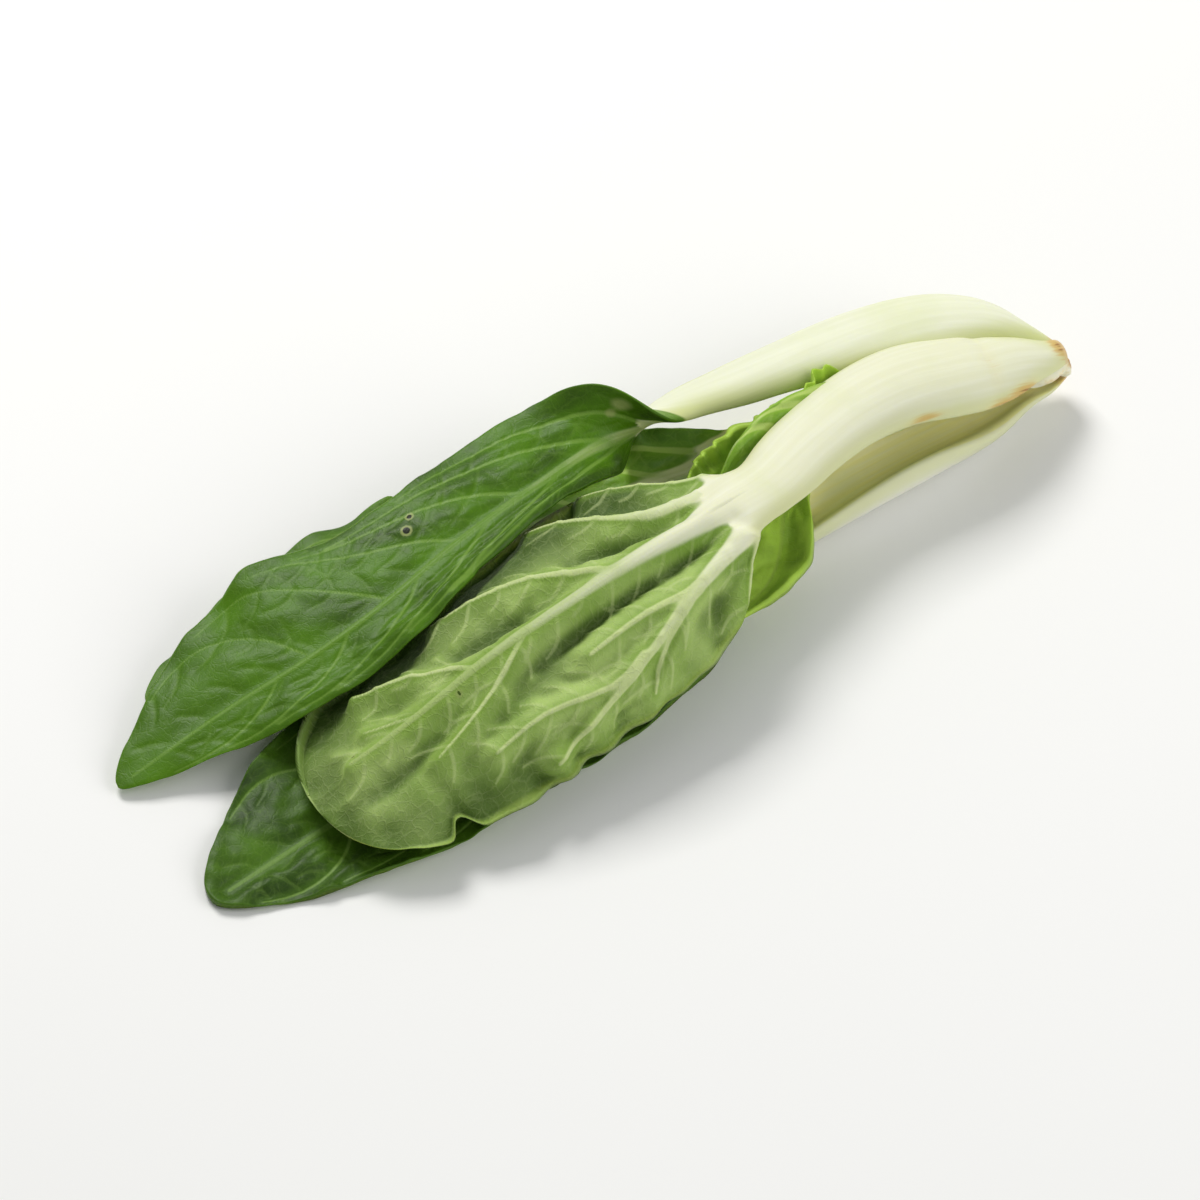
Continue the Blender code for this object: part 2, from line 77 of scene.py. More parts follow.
def stem_surface(turns, rings):
    """Points of the stem, a profile turned about its axis, and how dried each one is.

    The profile is (share of the way, x, radius).  The radius gains five low lobes and 17
    fine ribs, which are sines of the turn, and two bells exp(-x**2) exp(-angle**2): the
    stump and the nub.  The axis climbs by AXIS_RISE.  The flesh is dried in a bell along
    x about the cut end, less on the nub.
    """
    turn = np.linspace(0, 2 * math.pi, turns, endpoint=False)[:, None]
    profile = np.array([
        (0.0, 0.25, 0.0), (0.12, 0.55, 1.1), (0.2, 0.45, 1.9), (0.3, -0.2, 2.65),
        (0.42, -1.6, 3.1), (0.55, -4.2, 3.3), (0.66, -7.0, 3.1), (0.78, -11.0, 2.6),
        (0.9, -16.0, 1.8), (1.0, -21.0, 0.5)])
    s = np.linspace(0, 1, rings)[None, :]
    x = np.interp(s, profile[:, 0], profile[:, 1]) + 0 * turn
    r = np.interp(s, profile[:, 0], profile[:, 2]) + 0 * turn
    gap = (turn - math.radians(STUMP_ANGLE) + math.pi) % (2 * math.pi) - math.pi
    stump = np.exp(-(((x + 8.5) / 6.6) ** 2)) * np.exp(-((gap / math.radians(36)) ** 2))
    nub = np.exp(-(((x + 0.6) / 1.6) ** 2) - ((gap + NUB_BELOW) / 0.55) ** 2)
    r = r + (STUMP_HEIGHT * stump + NUB_HEIGHT * nub + 0.22 * np.sin(turn * 5 + x * 0.3)
             + 0.10 * np.sin(turn * 17 + x)) * np.clip(r / 2, 0, 1)
    y, z = -r * np.cos(turn), r * np.sin(turn) + BUTT_HEIGHT - AXIS_RISE * x
    dried = np.exp(-((x - 0.3) / 0.9) ** 2) * (1 - 0.8 * nub)
    return np.stack([x, y, z], axis=-1), dried


class Wire:
    """A shader socket that takes part in sums: each operator adds one Math node."""

    def __init__(self, tree, socket=None):
        self.tree, self.socket = tree, socket

    def node(self, kind, settings=(), inputs=(), out=0):
        """A node of that kind: its settings first, then its sockets' values or links."""
        made = self.tree.nodes.new(kind)
        for key, value in dict(settings).items():
            setattr(made, key, value)
        for key, value in dict(inputs).items():
            if isinstance(value, Wire):
                self.tree.links.new(value.socket, made.inputs[key])
            else:
                made.inputs[key].default_value = value
        return Wire(self.tree, made.outputs[out])

    def sum(self, operation, *values):
        """A Math node of that operation on the values, in their order."""
        return self.node("ShaderNodeMath", {"operation": operation}, dict(enumerate(values)))

    def __add__(self, other):
        return self.sum("ADD", self, other)

    def __mul__(self, other):
        return self.sum("MULTIPLY", self, other)

    def __sub__(self, other):
        return self.sum("SUBTRACT", self, other)

    def __rsub__(self, other):
        return self.sum("SUBTRACT", other, self)

    __radd__, __rmul__ = __add__, __mul__

    def between(self, low, high):
        """0 below low, 1 above high, and u * u * (3 - 2 * u) in between."""
        return self.node("ShaderNodeMapRange", {"interpolation_type": "SMOOTHSTEP"},
                         {0: self, 1: low, 2: high, 3: 0.0, 4: 1.0})

    def tint(self, colour, other):
        """The colour where this mask is 0, the other one where it is 1."""
        return self.node("ShaderNodeMix", {"data_type": "RGBA"},
                         {0: self, 6: colour, 7: other}, out=2)

    def layer(self, name):
        """The number that the mesh holds at each point under that name."""
        return self.node("ShaderNodeAttribute", {"attribute_name": name}, out=2)

    def cloud(self, place, scale, detail=3.0, out=0):
        """Noise from 0 to 1 at a place, scale turns to the unit; out=1 gives colours."""
        return self.node("ShaderNodeTexNoise", {}, {
            "Vector": place, "Scale": scale, "Detail": detail}, out=out)


def ink(red, green, blue):
    """A screen colour of 0 to 255 as the linear light that shaders use.

    That is c / 12.92 in the darkest part and ((c + 0.055) / 1.055) ** 2.4 above it.
    """
    c = np.array([red, green, blue]) / 255
    c = np.where(c <= 0.04045, c / 12.92, ((c + 0.055) / 1.055) ** 2.4)
    return (*c.tolist(), 1.0)


def new_finish(name, **constants):
    """A material, its first wire, and its shader with the constants set on its sockets."""
    finish = bpy.data.materials.new(name)
    finish.use_nodes = True
    shader = finish.node_tree.nodes["Principled BSDF"]
    for key, value in constants.items():
        shader.inputs[key.replace("_", " ")].default_value = value
    return finish, Wire(finish.node_tree), shader


def connect(wire, shader, **sockets):
    """Link each wire to the shader's socket of that name."""
    for key, value in sockets.items():
        wire.tree.links.new(value.socket, shader.inputs[key.replace("_", " ")])


def stem_finish():
    """Pale flesh in fine streaks along the stem, yellowed and browned where it dried.

    Yellow comes with the patches of one noise, brown where that noise and the dried
    number add up, and dark brown where their product is high.
    """
    finish, wire, shader = new_finish(
        "stem flesh", Subsurface_Weight=0.25, Subsurface_Radius=(1.0, 0.8, 0.4),
        Subsurface_Scale=0.002)
    place = wire.node("ShaderNodeTexCoord", out=3)
    dried = wire.layer("dried")
    streaks = wire.cloud(
        wire.node("ShaderNodeVectorMath", {"operation": "MULTIPLY"},
                  {0: place, 1: (90.0, 900.0, 900.0)}), 1.0, 4.0)
    patches = wire.cloud(place, 260.0, 4.0)
    pale = streaks.tint(ink(230, 226, 188), ink(242, 240, 218))
    yellow = patches.between(0.5, 0.75).tint(pale, ink(222, 196, 128))
    brown = (dried * 1.1 + patches - 0.45).between(0.25, 0.8).tint(yellow, ink(190, 150, 96))
    dark = (patches * dried).between(0.5, 0.75).tint(brown, ink(122, 88, 52))
    bump = wire.node("ShaderNodeBump", {}, {
        "Strength": 0.6, "Distance": 0.0004, "Height": streaks * 0.5 + patches})
    connect(wire, shader, Base_Color=dark, Roughness=0.38 + dried * 0.35, Normal=bump)
    return finish


turns, rings = 120, 70
points, dried = stem_surface(turns, rings)
index = np.arange(turns * rings).reshape(turns, rings)
after = np.roll(index, -1, axis=0)
quads = np.stack([index[:, :-1], after[:, :-1], after[:, 1:], index[:, 1:]], -1).reshape(-1, 4)
ends = np.array([points[:, 0].mean(0), points[:, -1].mean(0) - (0.4, 0, 0)])
tris = np.concatenate([
    np.stack([np.full(turns, turns * rings), after[:, 0], index[:, 0]], -1),
    np.stack([np.full(turns, turns * rings + 1), index[:, -1], after[:, -1]], -1)])
flat = np.stack(np.broadcast_arrays(-points[..., 0], np.arange(turns)[:, None] * 0.2), -1)
stem = put_mesh("stem", np.concatenate([points.reshape(-1, 3), ends]), quads, tris,
                {"dried": np.append(dried.ravel(), (1, 0))},
                np.concatenate([flat.reshape(-1, 2), np.zeros((2, 2))]), stem_finish())
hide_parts("stem_base")
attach(stem, "root")


# The outer leaf that lies at the bottom, inner face up.  Like every leaf of the plant it
# grew as one piece: a fleshy pale stalk, hollowed like a spoon, that runs on as the
# midrib of a thin green blade.  Its stalk is a trough on the surface.
BLADE = 0.6                     # thickness of a blade between its veins
THIN = 0.02                     # half-width that the tip narrows to, before it closes
STRAIGHT = 1e-3                 # least curl, in radians, that the arc is worked out for
GAP = 0.35                      # clearance between leaves that rest on each other
FLOOR = 0.45                    # lowest that a leaf lies, just clear of the surface
HEAP_MIN = (-260.0, -75.0)      # the heap's corner in the plant's own mm
HEAP_SIZE = (285, 170)
heap = np.zeros(HEAP_SIZE)      # highest point laid so far in each square millimetre


def curve(knots, t):
    """Cubic through the knots (t, value, ...), as the four Hermite terms add up.

    The slope at a knot is that between its neighbours.
    """
    knots = np.array(knots, float)
    kt, kv = knots[:, 0], knots[:, 1:]
    slope = np.gradient(kv, kt, axis=0)
    i = np.clip(np.searchsorted(kt, t, side="right") - 1, 0, len(kt) - 2)
    h = (kt[i + 1] - kt[i])[:, None]
    u = (np.clip(t, kt[0], kt[-1]) - kt[i])[:, None] / h
    return ((2 * u**3 - 3 * u**2 + 1) * kv[i] + (u**3 - 2 * u**2 + u) * h * slope[i]
            + (3 * u**2 - 2 * u**3) * kv[i + 1] + (u**3 - u**2) * h * slope[i + 1])


def around(x, radius, angle):
    """Point at x, a radius and an angle round the stem's axis; 0 is far, 90 is up."""
    a = math.radians(angle)
    return (x, radius * math.cos(a), BUTT_HEIGHT - AXIS_RISE * x + radius * math.sin(a))


def ripple(p, q, size, seed):
    """Soft random waves from -1 to 1: random heights on a lattice, joined by soft steps."""
    lattice = np.random.default_rng(seed).uniform(-1, 1, (64, 64))
    a, b = np.broadcast_arrays(p / size + 17.3, q / size + 29.7)
    i, j = np.floor(a).astype(int), np.floor(b).astype(int)
    f, g = a - i, b - j
    f, g = f * f * (3 - 2 * f), g * g * (3 - 2 * g)
    h = [lattice[(i + di) % 64, (j + dj) % 64] for di in (0, 1) for dj in (0, 1)]
    return (h[0] * (1 - f) + h[2] * f) * (1 - g) + (h[1] * (1 - f) + h[3] * f) * g


def soft(x, low, high):
    """0 below low, 1 above high, and u * u * (3 - 2 * u) in between."""
    u = np.clip((x - low) / (high - low), 0, 1)
    return u * u * (3 - 2 * u)


def midline(path, blade_from, step):
    """Frames along a leaf's midline, a step apart on the blade and wider on the stalk.

    The points (x, y, z, facing) are joined by a cubic; facing is the direction across
    the plant, in degrees from +Y, that the leaf's inner face looks in.  The tangent is
    the chord over 4 mm, the normal is the facing less its part along the tangent, and
    the side is square to both.  Both ends have rows at half the step.
    """
    samples = 900
    path = np.array(path, float)
    s = np.concatenate([[0], np.cumsum(np.linalg.norm(np.diff(path[:, :3], axis=0), axis=1))])
    fine = curve(np.column_stack([s, path]), np.linspace(0, s[-1], samples))
    run = np.concatenate([[0], np.cumsum(np.linalg.norm(np.diff(fine[:, :3], axis=0), axis=1))])
    length = run[-1]
    p = np.linspace(0, length, samples)
    close = 1 / np.where(p > blade_from - 8, step, 1.3 * step + 0.5)
    close = np.where((p > length - 5) | (p < 4), 1 / (0.5 * step), close)
    count = np.concatenate([[0], np.cumsum((close[1:] + close[:-1]) / 2 * np.diff(p))])
    p = np.interp(np.linspace(0, count[-1], int(count[-1]) + 1), count, p)
    spine = np.column_stack([np.interp(p, run, fine[:, k]) for k in range(3)])
    tangent = np.column_stack([np.interp(p + 2, run, fine[:, k]) - np.interp(p - 2, run, fine[:, k])
                               for k in range(3)])
    tangent /= np.linalg.norm(tangent, axis=1)[:, None]
    facing = np.radians(np.interp(p, run, fine[:, 3]))
    normal = np.column_stack([0 * facing, np.cos(facing), np.sin(facing)])
    normal -= np.sum(normal * tangent, axis=1)[:, None] * tangent
    normal /= np.linalg.norm(normal, axis=1)[:, None]
    return p, length, spine, normal, np.cross(normal, tangent)


def join(edge, half, other, other_half, web):
    """Two distances as one: the smaller, rounded off over a web where they are alike."""
    share = np.clip(0.5 + 0.5 * (edge - other) / web, 0, 1)
    return (edge * (1 - share) + other * share - web * share * (1 - share),
            half * (1 - share) + other_half * share)


def to_vein(p, q, lines, web=0.05):
    """How far each place is outside the nearest vein's edge, and that vein's half-width.

    A vein is a chain of straight runs (along, across, half-width); the foot of the
    perpendicular on a run is kept within its ends, and the edge is the half-width off.
    Where two veins meet, they are joined by a web.  Places more than 8 mm from every vein
    are given as 9 mm from one of half-width 0.1.
    """
    nothing = (np.full(p.shape, 9.0), np.full(p.shape, 0.1))
    all_edge, all_half = nothing
    for line in lines:
        edge, half = nothing[0].copy(), nothing[1].copy()
        line = np.array(line, float)
        if len(line) > 2:
            line = curve(np.column_stack([np.arange(len(line)), line]),
                         np.linspace(0, len(line) - 1, 3 * len(line) - 2))
        for (p0, q0, h0), (p1, q1, h1) in zip(line[:-1], line[1:]):
            reach = 8 + max(h0, h1)
            near = ((p > min(p0, p1) - reach) & (p < max(p0, p1) + reach)
                    & (q > min(q0, q1) - reach) & (q < max(q0, q1) + reach))
            x, y, a, b = p[near] - p0, q[near] - q0, p1 - p0, q1 - q0
            u = np.clip((x * a + y * b) / (a * a + b * b + 1e-9), 0, 1)
            width = h0 + (h1 - h0) * u
            d = np.hypot(x - u * a, y - u * b) - width
            closer = d < edge[near]
            edge[near] = np.where(closer, d, edge[near])
            half[near] = np.where(closer, width, half[near])
        all_edge, all_half = join(all_edge, all_half, edge, half, web)
    return all_edge, all_half


def side_veins(length, blade_from, reach_of, pairs, weight, seed):
    """Main side veins, in pairs: each leaves the midrib, bends and dies out near the margin.

    Over its share s it goes forward as s ** 1.15 and outward as a quarter wave, sin(s 90)
    ** 0.9, and its half-width falls as (1 - s) ** 0.8.  The lowest are the thickest, in
    proportion to weight, and run farthest.
    """
    rng = np.random.default_rng(seed)
    lines = []
    for k in range(2 * pairs):
        side = 1 if k % 2 else -1
        share = (k + rng.uniform(-0.2, 0.2)) / (2 * pairs)
        p0 = blade_from + 2 + share * (length - blade_from) * 0.8
        run = (length - blade_from) * (0.42 - 0.24 * share) * rng.uniform(0.9, 1.1)
        s = np.linspace(0, 1, 6)
        along = p0 + run * s**1.15
        out = side * 0.9 * reach_of(along, side) * np.sin(s * math.pi / 2) ** 0.9
        thick = weight * ((1.2 - 0.7 * share) * (1 - s) ** 0.8 + 0.2)
        lines.append(np.column_stack([along, out, thick]))
    return lines


def small_veins(lines, reach_of, seed):
    """Small veins: off both sides of each main one, slanting forward, then fading.

    Each is two straight runs, 6 to 11 mm in all; the first turns 40 to 63 degrees off its
    main vein, and the second bends back a little.  Those past the margin are left out.
    """
    rng = np.random.default_rng(seed)
    every = 8.5
    small = []
    for line in lines:
        line = np.array(line, float)
        run = np.concatenate([[0], np.cumsum(np.hypot(*np.diff(line[:, :2], axis=0).T))])
        for s in np.arange(rng.uniform(3, 5), run[-1] - 1, every * rng.uniform(0.85, 1.15)):
            at = np.array([np.interp(s, run, line[:, k]) for k in range(2)])
            ahead = np.array([np.interp(s + 1, run, line[:, k]) for k in range(2)]) - at
            heading = math.atan2(ahead[1], ahead[0])
            for way in (-1, 1):
                turn = heading + way * rng.uniform(0.7, 1.1)
                size = rng.uniform(6, 11)
                bend = turn - way * rng.uniform(0.2, 0.6)
                mid = at + 0.5 * size * np.array([math.cos(turn), math.sin(turn)])
                end = mid + 0.5 * size * np.array([math.cos(bend), math.sin(bend)])
                if abs(end[1]) < 0.95 * reach_of(np.array([end[0]]), np.sign(end[1]))[0]:
                    small.append([(*at, 0.3), (*mid, 0.22), (*end, 0.1)])
    return small


def heap_cell(points):
    """The square millimetre of the heap that each point stands over."""
    i = (points[..., 0] - HEAP_MIN[0]).astype(int)
    j = (points[..., 1] - HEAP_MIN[1]).astype(int)
    return np.clip(i, 0, HEAP_SIZE[0] - 1), np.clip(j, 0, HEAP_SIZE[1] - 1)


def settle(inner, outer, p, v, clear):
    """Lift a leaf so that it lies on what is already in the heap.

    The lift a place needs is what brings it above the heap there.  Patches 9 mm long and
    an eighth of the leaf wide take their largest need and hand it to their corners.  Three
    times each corner is raised to its neighbours' mean, and the corners are joined by soft
    steps, so the leaf drapes.  Up to clear mm from the butt the stalks stand side by side
    and only the surface counts.
    """
    patch_length, across = 9.0, 8
    top = heap.copy()
    for shift in ((1, 0), (-1, 0), (0, 1), (0, -1)):
        top = np.maximum(top, np.roll(heap, shift, (0, 1)))
    need = np.zeros(inner.shape[:2])
    for face in (inner, outer):
        under = top[heap_cell(face)]
        under = np.where(under > 0, under + GAP, FLOOR)
        under[p < clear] = FLOOR
        need = np.maximum(need, under - face[..., 2])
    a, b = np.broadcast_arrays(p[:, None] / patch_length, (v + 1) * (across / 2) * 0.9999)
    i, j = a.astype(int), b.astype(int)
    patch = np.zeros((i.max() + 3, across + 2))
    np.maximum.at(patch, (i + 1, j + 1), need)
    corner = np.maximum.reduce([patch[:-1, :-1], patch[1:, :-1], patch[:-1, 1:], patch[1:, 1:]])
    for _ in range(3):
        pad = np.pad(corner, 1, mode="edge")
        mean = (pad[:-2, 1:-1] + pad[2:, 1:-1] + pad[1:-1, :-2] + pad[1:-1, 2:]) / 4
        corner = np.maximum(corner, mean)
    f, g = soft(a - i, 0, 1), soft(b - j, 0, 1)
    lift = ((corner[i, j] * (1 - f) + corner[i + 1, j] * f) * (1 - g)
            + (corner[i, j + 1] * (1 - f) + corner[i + 1, j + 1] * f) * g)
    for face in (inner, outer):
        face[..., 2] += lift
        np.maximum.at(heap, heap_cell(face), face[..., 2])


def blade_grid(p, width, on_blade, nicks, cols, seed):
    """Places v across a leaf, from -1 to 1, and its half-width w at each of them.

    The columns stand even on the blade and crowd towards the margins on the stalk, as
    the sine of an even step does.  Two soft noises move the blade's margin in and out,
    and each nick takes depth exp(-|distance / width| ** 2.5) off one side.
    """
    crowding = math.pi / 2 * 0.86
    even = np.linspace(-1, 1, cols + 1)[None, :]
    crowded = np.sin(even * crowding) / math.sin(crowding)
    v = crowded * (1 - 0.7 * on_blade) + even * 0.7 * on_blade
    left = v < 0
    w = np.where(left, width[:, :1], width[:, 1:])
    coarse, fine = (
        np.where(left, ripple(p[:, None], 0 * v, size, seed + k),
                 ripple(p[:, None], 0 * v, size, seed + k + 1))
        for size, k in ((9, 1), (2.6, 3)))
    w = w + (0.5 * coarse + 0.16 * fine) * on_blade * np.minimum(1, w / 8)
    for which, at, depth, wide in nicks:
        bite = depth * np.exp(-np.abs((p[:, None] - at) / wide) ** 2.5)
        w = np.where(left == (which < 0), w - bite, w)
    return v, np.maximum(w, THIN)


def puffed(along, q, open_blade, net, puff, waves, seed):
    """How far the blade stands off its arc between the veins, towards the inner face.

    It rises as 1 - exp(-(d / 3.6) ** 2) with the distance d from a large vein, and less
    with the distance from a small one.  Random waves 17, 7 and 3.2 mm long come on top;
    they die down to 0.15 of their height on the large veins.
    """
    rise = puff * (1.2 * (1 - np.exp(-((np.maximum(open_blade, 0) / 3.6) ** 2)))
                   + 0.34 * (1 - np.exp(-((np.maximum(net, 0) / 1.5) ** 2)))
                   * soft(open_blade, 0.3, 4.5))
    return rise + waves * (0.15 + 0.85 * soft(open_blade, 0, 3.5)) * (
        1.3 * ripple(along, q, 17, seed + 5) + 0.6 * ripple(along, q, 7, seed + 6)
        + 0.26 * ripple(along, q, 3.2, seed + 7))


def ruffled(rise, along, q, v, ruffle, seed):
    """The rise with waves in its margins: height sin(2 pi phase) |v| ** 3 on one side.

    The phase is the way along over the wavelength, pushed to and fro at random, and the
    height also drifts at random.  Each stretch of waves fades in and out over 8 mm.
    """
    for which, start, stop, height, wavelength in ruffle:
        phase = along / wavelength + 1.3 * ripple(along, 0 * q, 2.1 * wavelength, seed + 8)
        held = soft(along, start, start + 8) * (1 - soft(along, stop - 8, stop))
        held *= 0.7 + 0.8 * ripple(along, 0 * q, 1.3 * wavelength, seed + 12)
        swing = height * np.sin(2 * math.pi * phase) * np.abs(v) ** 3 * held
        rise = rise + np.where((v < 0) == (which < 0), swing, 0)
    return rise


def creased(rise, along, q, folds):
    """The rise with its folds: bells exp(-(off / width) ** 2) about straight lines.

    off is the distance from the line, and the height goes as the root of a sine from one
    end of the line to the other.
    """
    for (p0, q0), (p1, q1), height, wide in folds:
        a, b = p1 - p0, q1 - q0
        k = np.clip(((along - p0) * a + (q - q0) * b) / (a * a + b * b), 0, 1)
        off = np.hypot(along - p0 - k * a, q - q0 - k * b)
        ends = np.sin(np.clip(k, 0.06, 0.94) * math.pi) ** 0.5
        rise = rise + height * np.exp(-((off / wide) ** 2)) * ends
    return rise


def marks(along, q, stains, spots):
    """Stains as soft bells and spots as cones, each the largest of its kind at a place."""
    stain, spot = 0 * along, 0 * along
    for p0, q0, long, wide, strength in stains:
        stain = np.maximum(stain, strength * np.exp(
            -(((along - p0) / long) ** 2) - ((q - q0) / wide) ** 2))
    for p0, q0, radius, depth in spots:
        spot = np.maximum(spot, depth * (1 - np.hypot(along - p0, q - q0) / radius))
    return stain, spot


def cells_of(grid):
    """The corners of each cell of a grid of point numbers, in turn round the cell."""
    corners = [grid[:-1, :-1], grid[1:, :-1], grid[1:, 1:], grid[:-1, 1:]]
    return np.stack(corners, -1).reshape(-1, 4)


def leaf_skin(inner, outer):
    """Points, quads and tris of the closed skin round a leaf.

    The two faces are grids that share their margins.  The outer one is turned round to
    face outwards, a strip of quads closes the butt, and a fan of tris each closes the
    last row of a face to the single point at the tip.
    """
    rows, cells = inner.shape[0] - 1, inner.shape[1]
    up = np.arange(rows * cells).reshape(rows, cells)
    down = up.copy()
    down[:, 1:-1] = rows * cells + np.arange(rows * (cells - 2)).reshape(rows, -1)
    tip = np.full(cells - 1, rows * cells + rows * (cells - 2))
    butt = np.stack([up[0, :-1], up[0, 1:], down[0, 1:], down[0, :-1]], -1)
    points = np.concatenate([inner[:-1].reshape(-1, 3), outer[:-1, 1:-1].reshape(-1, 3),
                             inner[-1].mean(axis=0)[None]])
    quads = np.concatenate([cells_of(up), cells_of(down)[:, ::-1], butt[1:-1]])
    tris = np.concatenate([
        np.stack([up[-1, :-1], tip, up[-1, 1:]], -1),
        np.stack([down[-1, :-1], down[-1, 1:], tip], -1),
        [butt[0, [0, 1, 2]], butt[-1, [0, 1, 3]]]])
    return points, quads, tris


def per_point(inner, outer, end):
    """Numbers on both faces and at the tip, in the order of a leaf's points."""
    return np.concatenate([inner[:-1].ravel(), outer[:-1, 1:-1].ravel(), [end]])


def leaf(name, path, outline, cup, stalk, midrib, tip, finish, main=None, pairs=5, weight=1.0,
         clear=0, blunt=3.0, ruffle=(), folds=(), nicks=(), stains=((0, 0, 4, 8, 0.8),),
         spots=(), waves=1.0, puff=1.0, step=0.6, cols=110, seed=1):
    """One leaf, laid on the heap.

    Across the midline the leaf is an arc: a place v (-1 to 1) of the half-width w sits at
    w/a sin(va) to the side and w/a (1 - cos va) towards the inner face, a being the curl.
    Its two faces are half a thickness off that arc.  Veins stand out underneath, and the
    blade bulges between them towards the inner face.

    path     midline points (x, y, z, facing)
    outline  (t, left, right): half-widths along the leaf, t from 0 at the butt to 1
    cup      (t, left, right): the curl of each half, in degrees; negative curls it back
    stalk    (t, thickness) of the middle
    midrib   (mm from the butt, half-width) of the white flesh; the second is where the
             blade starts
    tip      (start, power) of the rounded tip
    main     listed main side veins, or None for the usual pattern of so many pairs,
             whose thickness is scaled by weight
    clear    mm from the butt over which the leaf lies beside the others, not on them
    blunt    the power that rounds the stalk's sides; a high one leaves them square
    ruffle   (side, from, to, height, wavelength) of waves in the margin
    folds    ((along, across), (along, across), height, width) of creases in the blade
    nicks    (side, along, depth, width) of bites out of the margin
    stains   (along, across, length, breadth, strength) of browned places on the stalk
    spots    (along, across, radius, depth) of scars; a deep one is a hole, pale-edged, with painted shade in its middle
    waves    height of the blade's random waves, and puff of its bulges between veins
    step     mm between rows on the blade, and cols the number of cells in a row
    """
    blade_from = midrib[1][0]
    p, length, spine, normal, side = midline(path, blade_from, step)
    t = p / length
    past = np.clip((t - tip[0]) / (1 - tip[0]), 0, 1)
    rounded = np.sqrt(np.clip(1 - past ** tip[1], 0, 1))[:, None]
    width = np.maximum(curve(outline, t) * rounded, THIN)
    curl = np.radians(curve(cup, t))
    middle = curve(stalk, t)
    on_blade = soft(p[:, None], blade_from - 4, blade_from + 10)
    v, w = blade_grid(p, width, on_blade, nicks, cols, seed)
    a = np.where(v < 0, curl[:, :1], curl[:, 1:])
    a = np.where(np.abs(a) < STRAIGHT, STRAIGHT, a)
    q = v * w
    along = p[:, None] + 0 * v

    def reach_of(at, which):
        """The leaf's half-width at mm from the butt, on the left for a negative side."""
        return np.interp(at, p, width[:, 0] if which < 0 else width[:, 1])

    rib = [(m, 0.0, h) for m, h in midrib]
    mains = main or side_veins(length, blade_from, reach_of, pairs, weight, seed)
    small = small_veins(mains + [[r for r in rib if r[0] > blade_from]], reach_of, seed + 9)
    flesh, flesh_half = to_vein(along, q, [rib])
    vein, vein_half = to_vein(along, q, mains, 1.6)
    net, _ = to_vein(along, q, small)
    open_blade, open_half = join(flesh, flesh_half, vein, vein_half, 2.4)
    white = soft(-open_blade, -0.9, 0.5) * np.clip((open_half - 0.5) / 2.4, 0, 1) ** 0.8

    # The stalk's thickness rounds off to its sides; the blade's is a bell on the midrib.
    rounding = np.sqrt(np.clip(1 - np.abs(v) ** blunt, 0, 1))
    fade = np.clip(rounding * 3, 0, 1)
    core = np.interp(p, [m for m, h in midrib], [h for m, h in midrib])[:, None] * 0.9 + 0.25
    blade_thick = np.minimum(BLADE + (middle - BLADE) * np.exp(-((q / core) ** 2)), middle) * fade
    broad = np.clip((w - 11.0) / 9.0, 0, 1) * on_blade
    thick = middle * rounding * (1 - broad) + blade_thick * broad
    half = 0.5 * thick * np.minimum(1.0, width.mean(axis=1) / 3.0)[:, None]

    # A vein's ridge is highest along its middle and ends a little outside its edge.
    green = soft(flesh, -0.5, 2.5) * on_blade * fade
    beyond = np.clip((vein + vein_half) / (1.25 * vein_half + 0.3), 0, 1)
    ridge = 1.35 * vein_half / (1 + vein_half / 4) * (1 - beyond**2) ** 0.8
    threads = 0.24 * np.exp(-((np.maximum(net, 0) / 0.45) ** 2))
    rise = puffed(along, q, open_blade, net, puff, waves, seed) * green
    rise = creased(ruffled(rise, along, q, v, ruffle, seed), along, q, folds)

    across = w / a * np.sin(np.abs(v) * a) * np.sign(v)
    up = w / a * (1 - np.cos(v * a))
    centre = (spine[:, None] + across[..., None] * side[:, None] + up[..., None] * normal[:, None])
    out = (normal[:, None] * np.cos(v * a)[..., None] - side[:, None] * np.sin(v * a)[..., None])
    groove = (0.35 * ridge + 0.6 * threads) * green
    inner = centre + out * (half * (1 - 0.3 * broad) + rise - groove * fade)[..., None]
    outer = centre - out * (half * (1 + 0.3 * broad) - rise
                            + (ridge + threads) * green * fade)[..., None]
    outer[:, [0, -1]] = inner[:, [0, -1]]
    inner[-1] = outer[-1] = spine[-1]
    settle(inner, outer, p, v, clear)

    stain, spot = marks(along, q, stains, spots)
    inside = np.ones_like(v)
    inside[:, [0, -1]] = 0.5
    layers = {
        key: per_point(values, values, end) for key, values, end in (
            ("flesh", np.clip(flesh, -3, 6), 5), ("vein", np.clip(vein, -3, 6), 5),
            ("net", np.clip(net, -1, 4), 3), ("rim", (1 - np.abs(v)) * w, 0),
            ("bulge", rise, 0), ("white", white, 0), ("stain", stain, 0), ("spot", spot, 0))}
    layers["face"] = per_point(inside, 0 * v, 0.5)
    flat = np.stack([per_point(along, along, length), per_point(q, q, 0)], -1)
    piece = put_mesh(name + "_fine", *leaf_skin(inner, outer), layers, flat, finish)
    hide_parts(name)
    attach(piece, "root")


NOWHERE = (900, 999)            # mm, past the end and side of every leaf


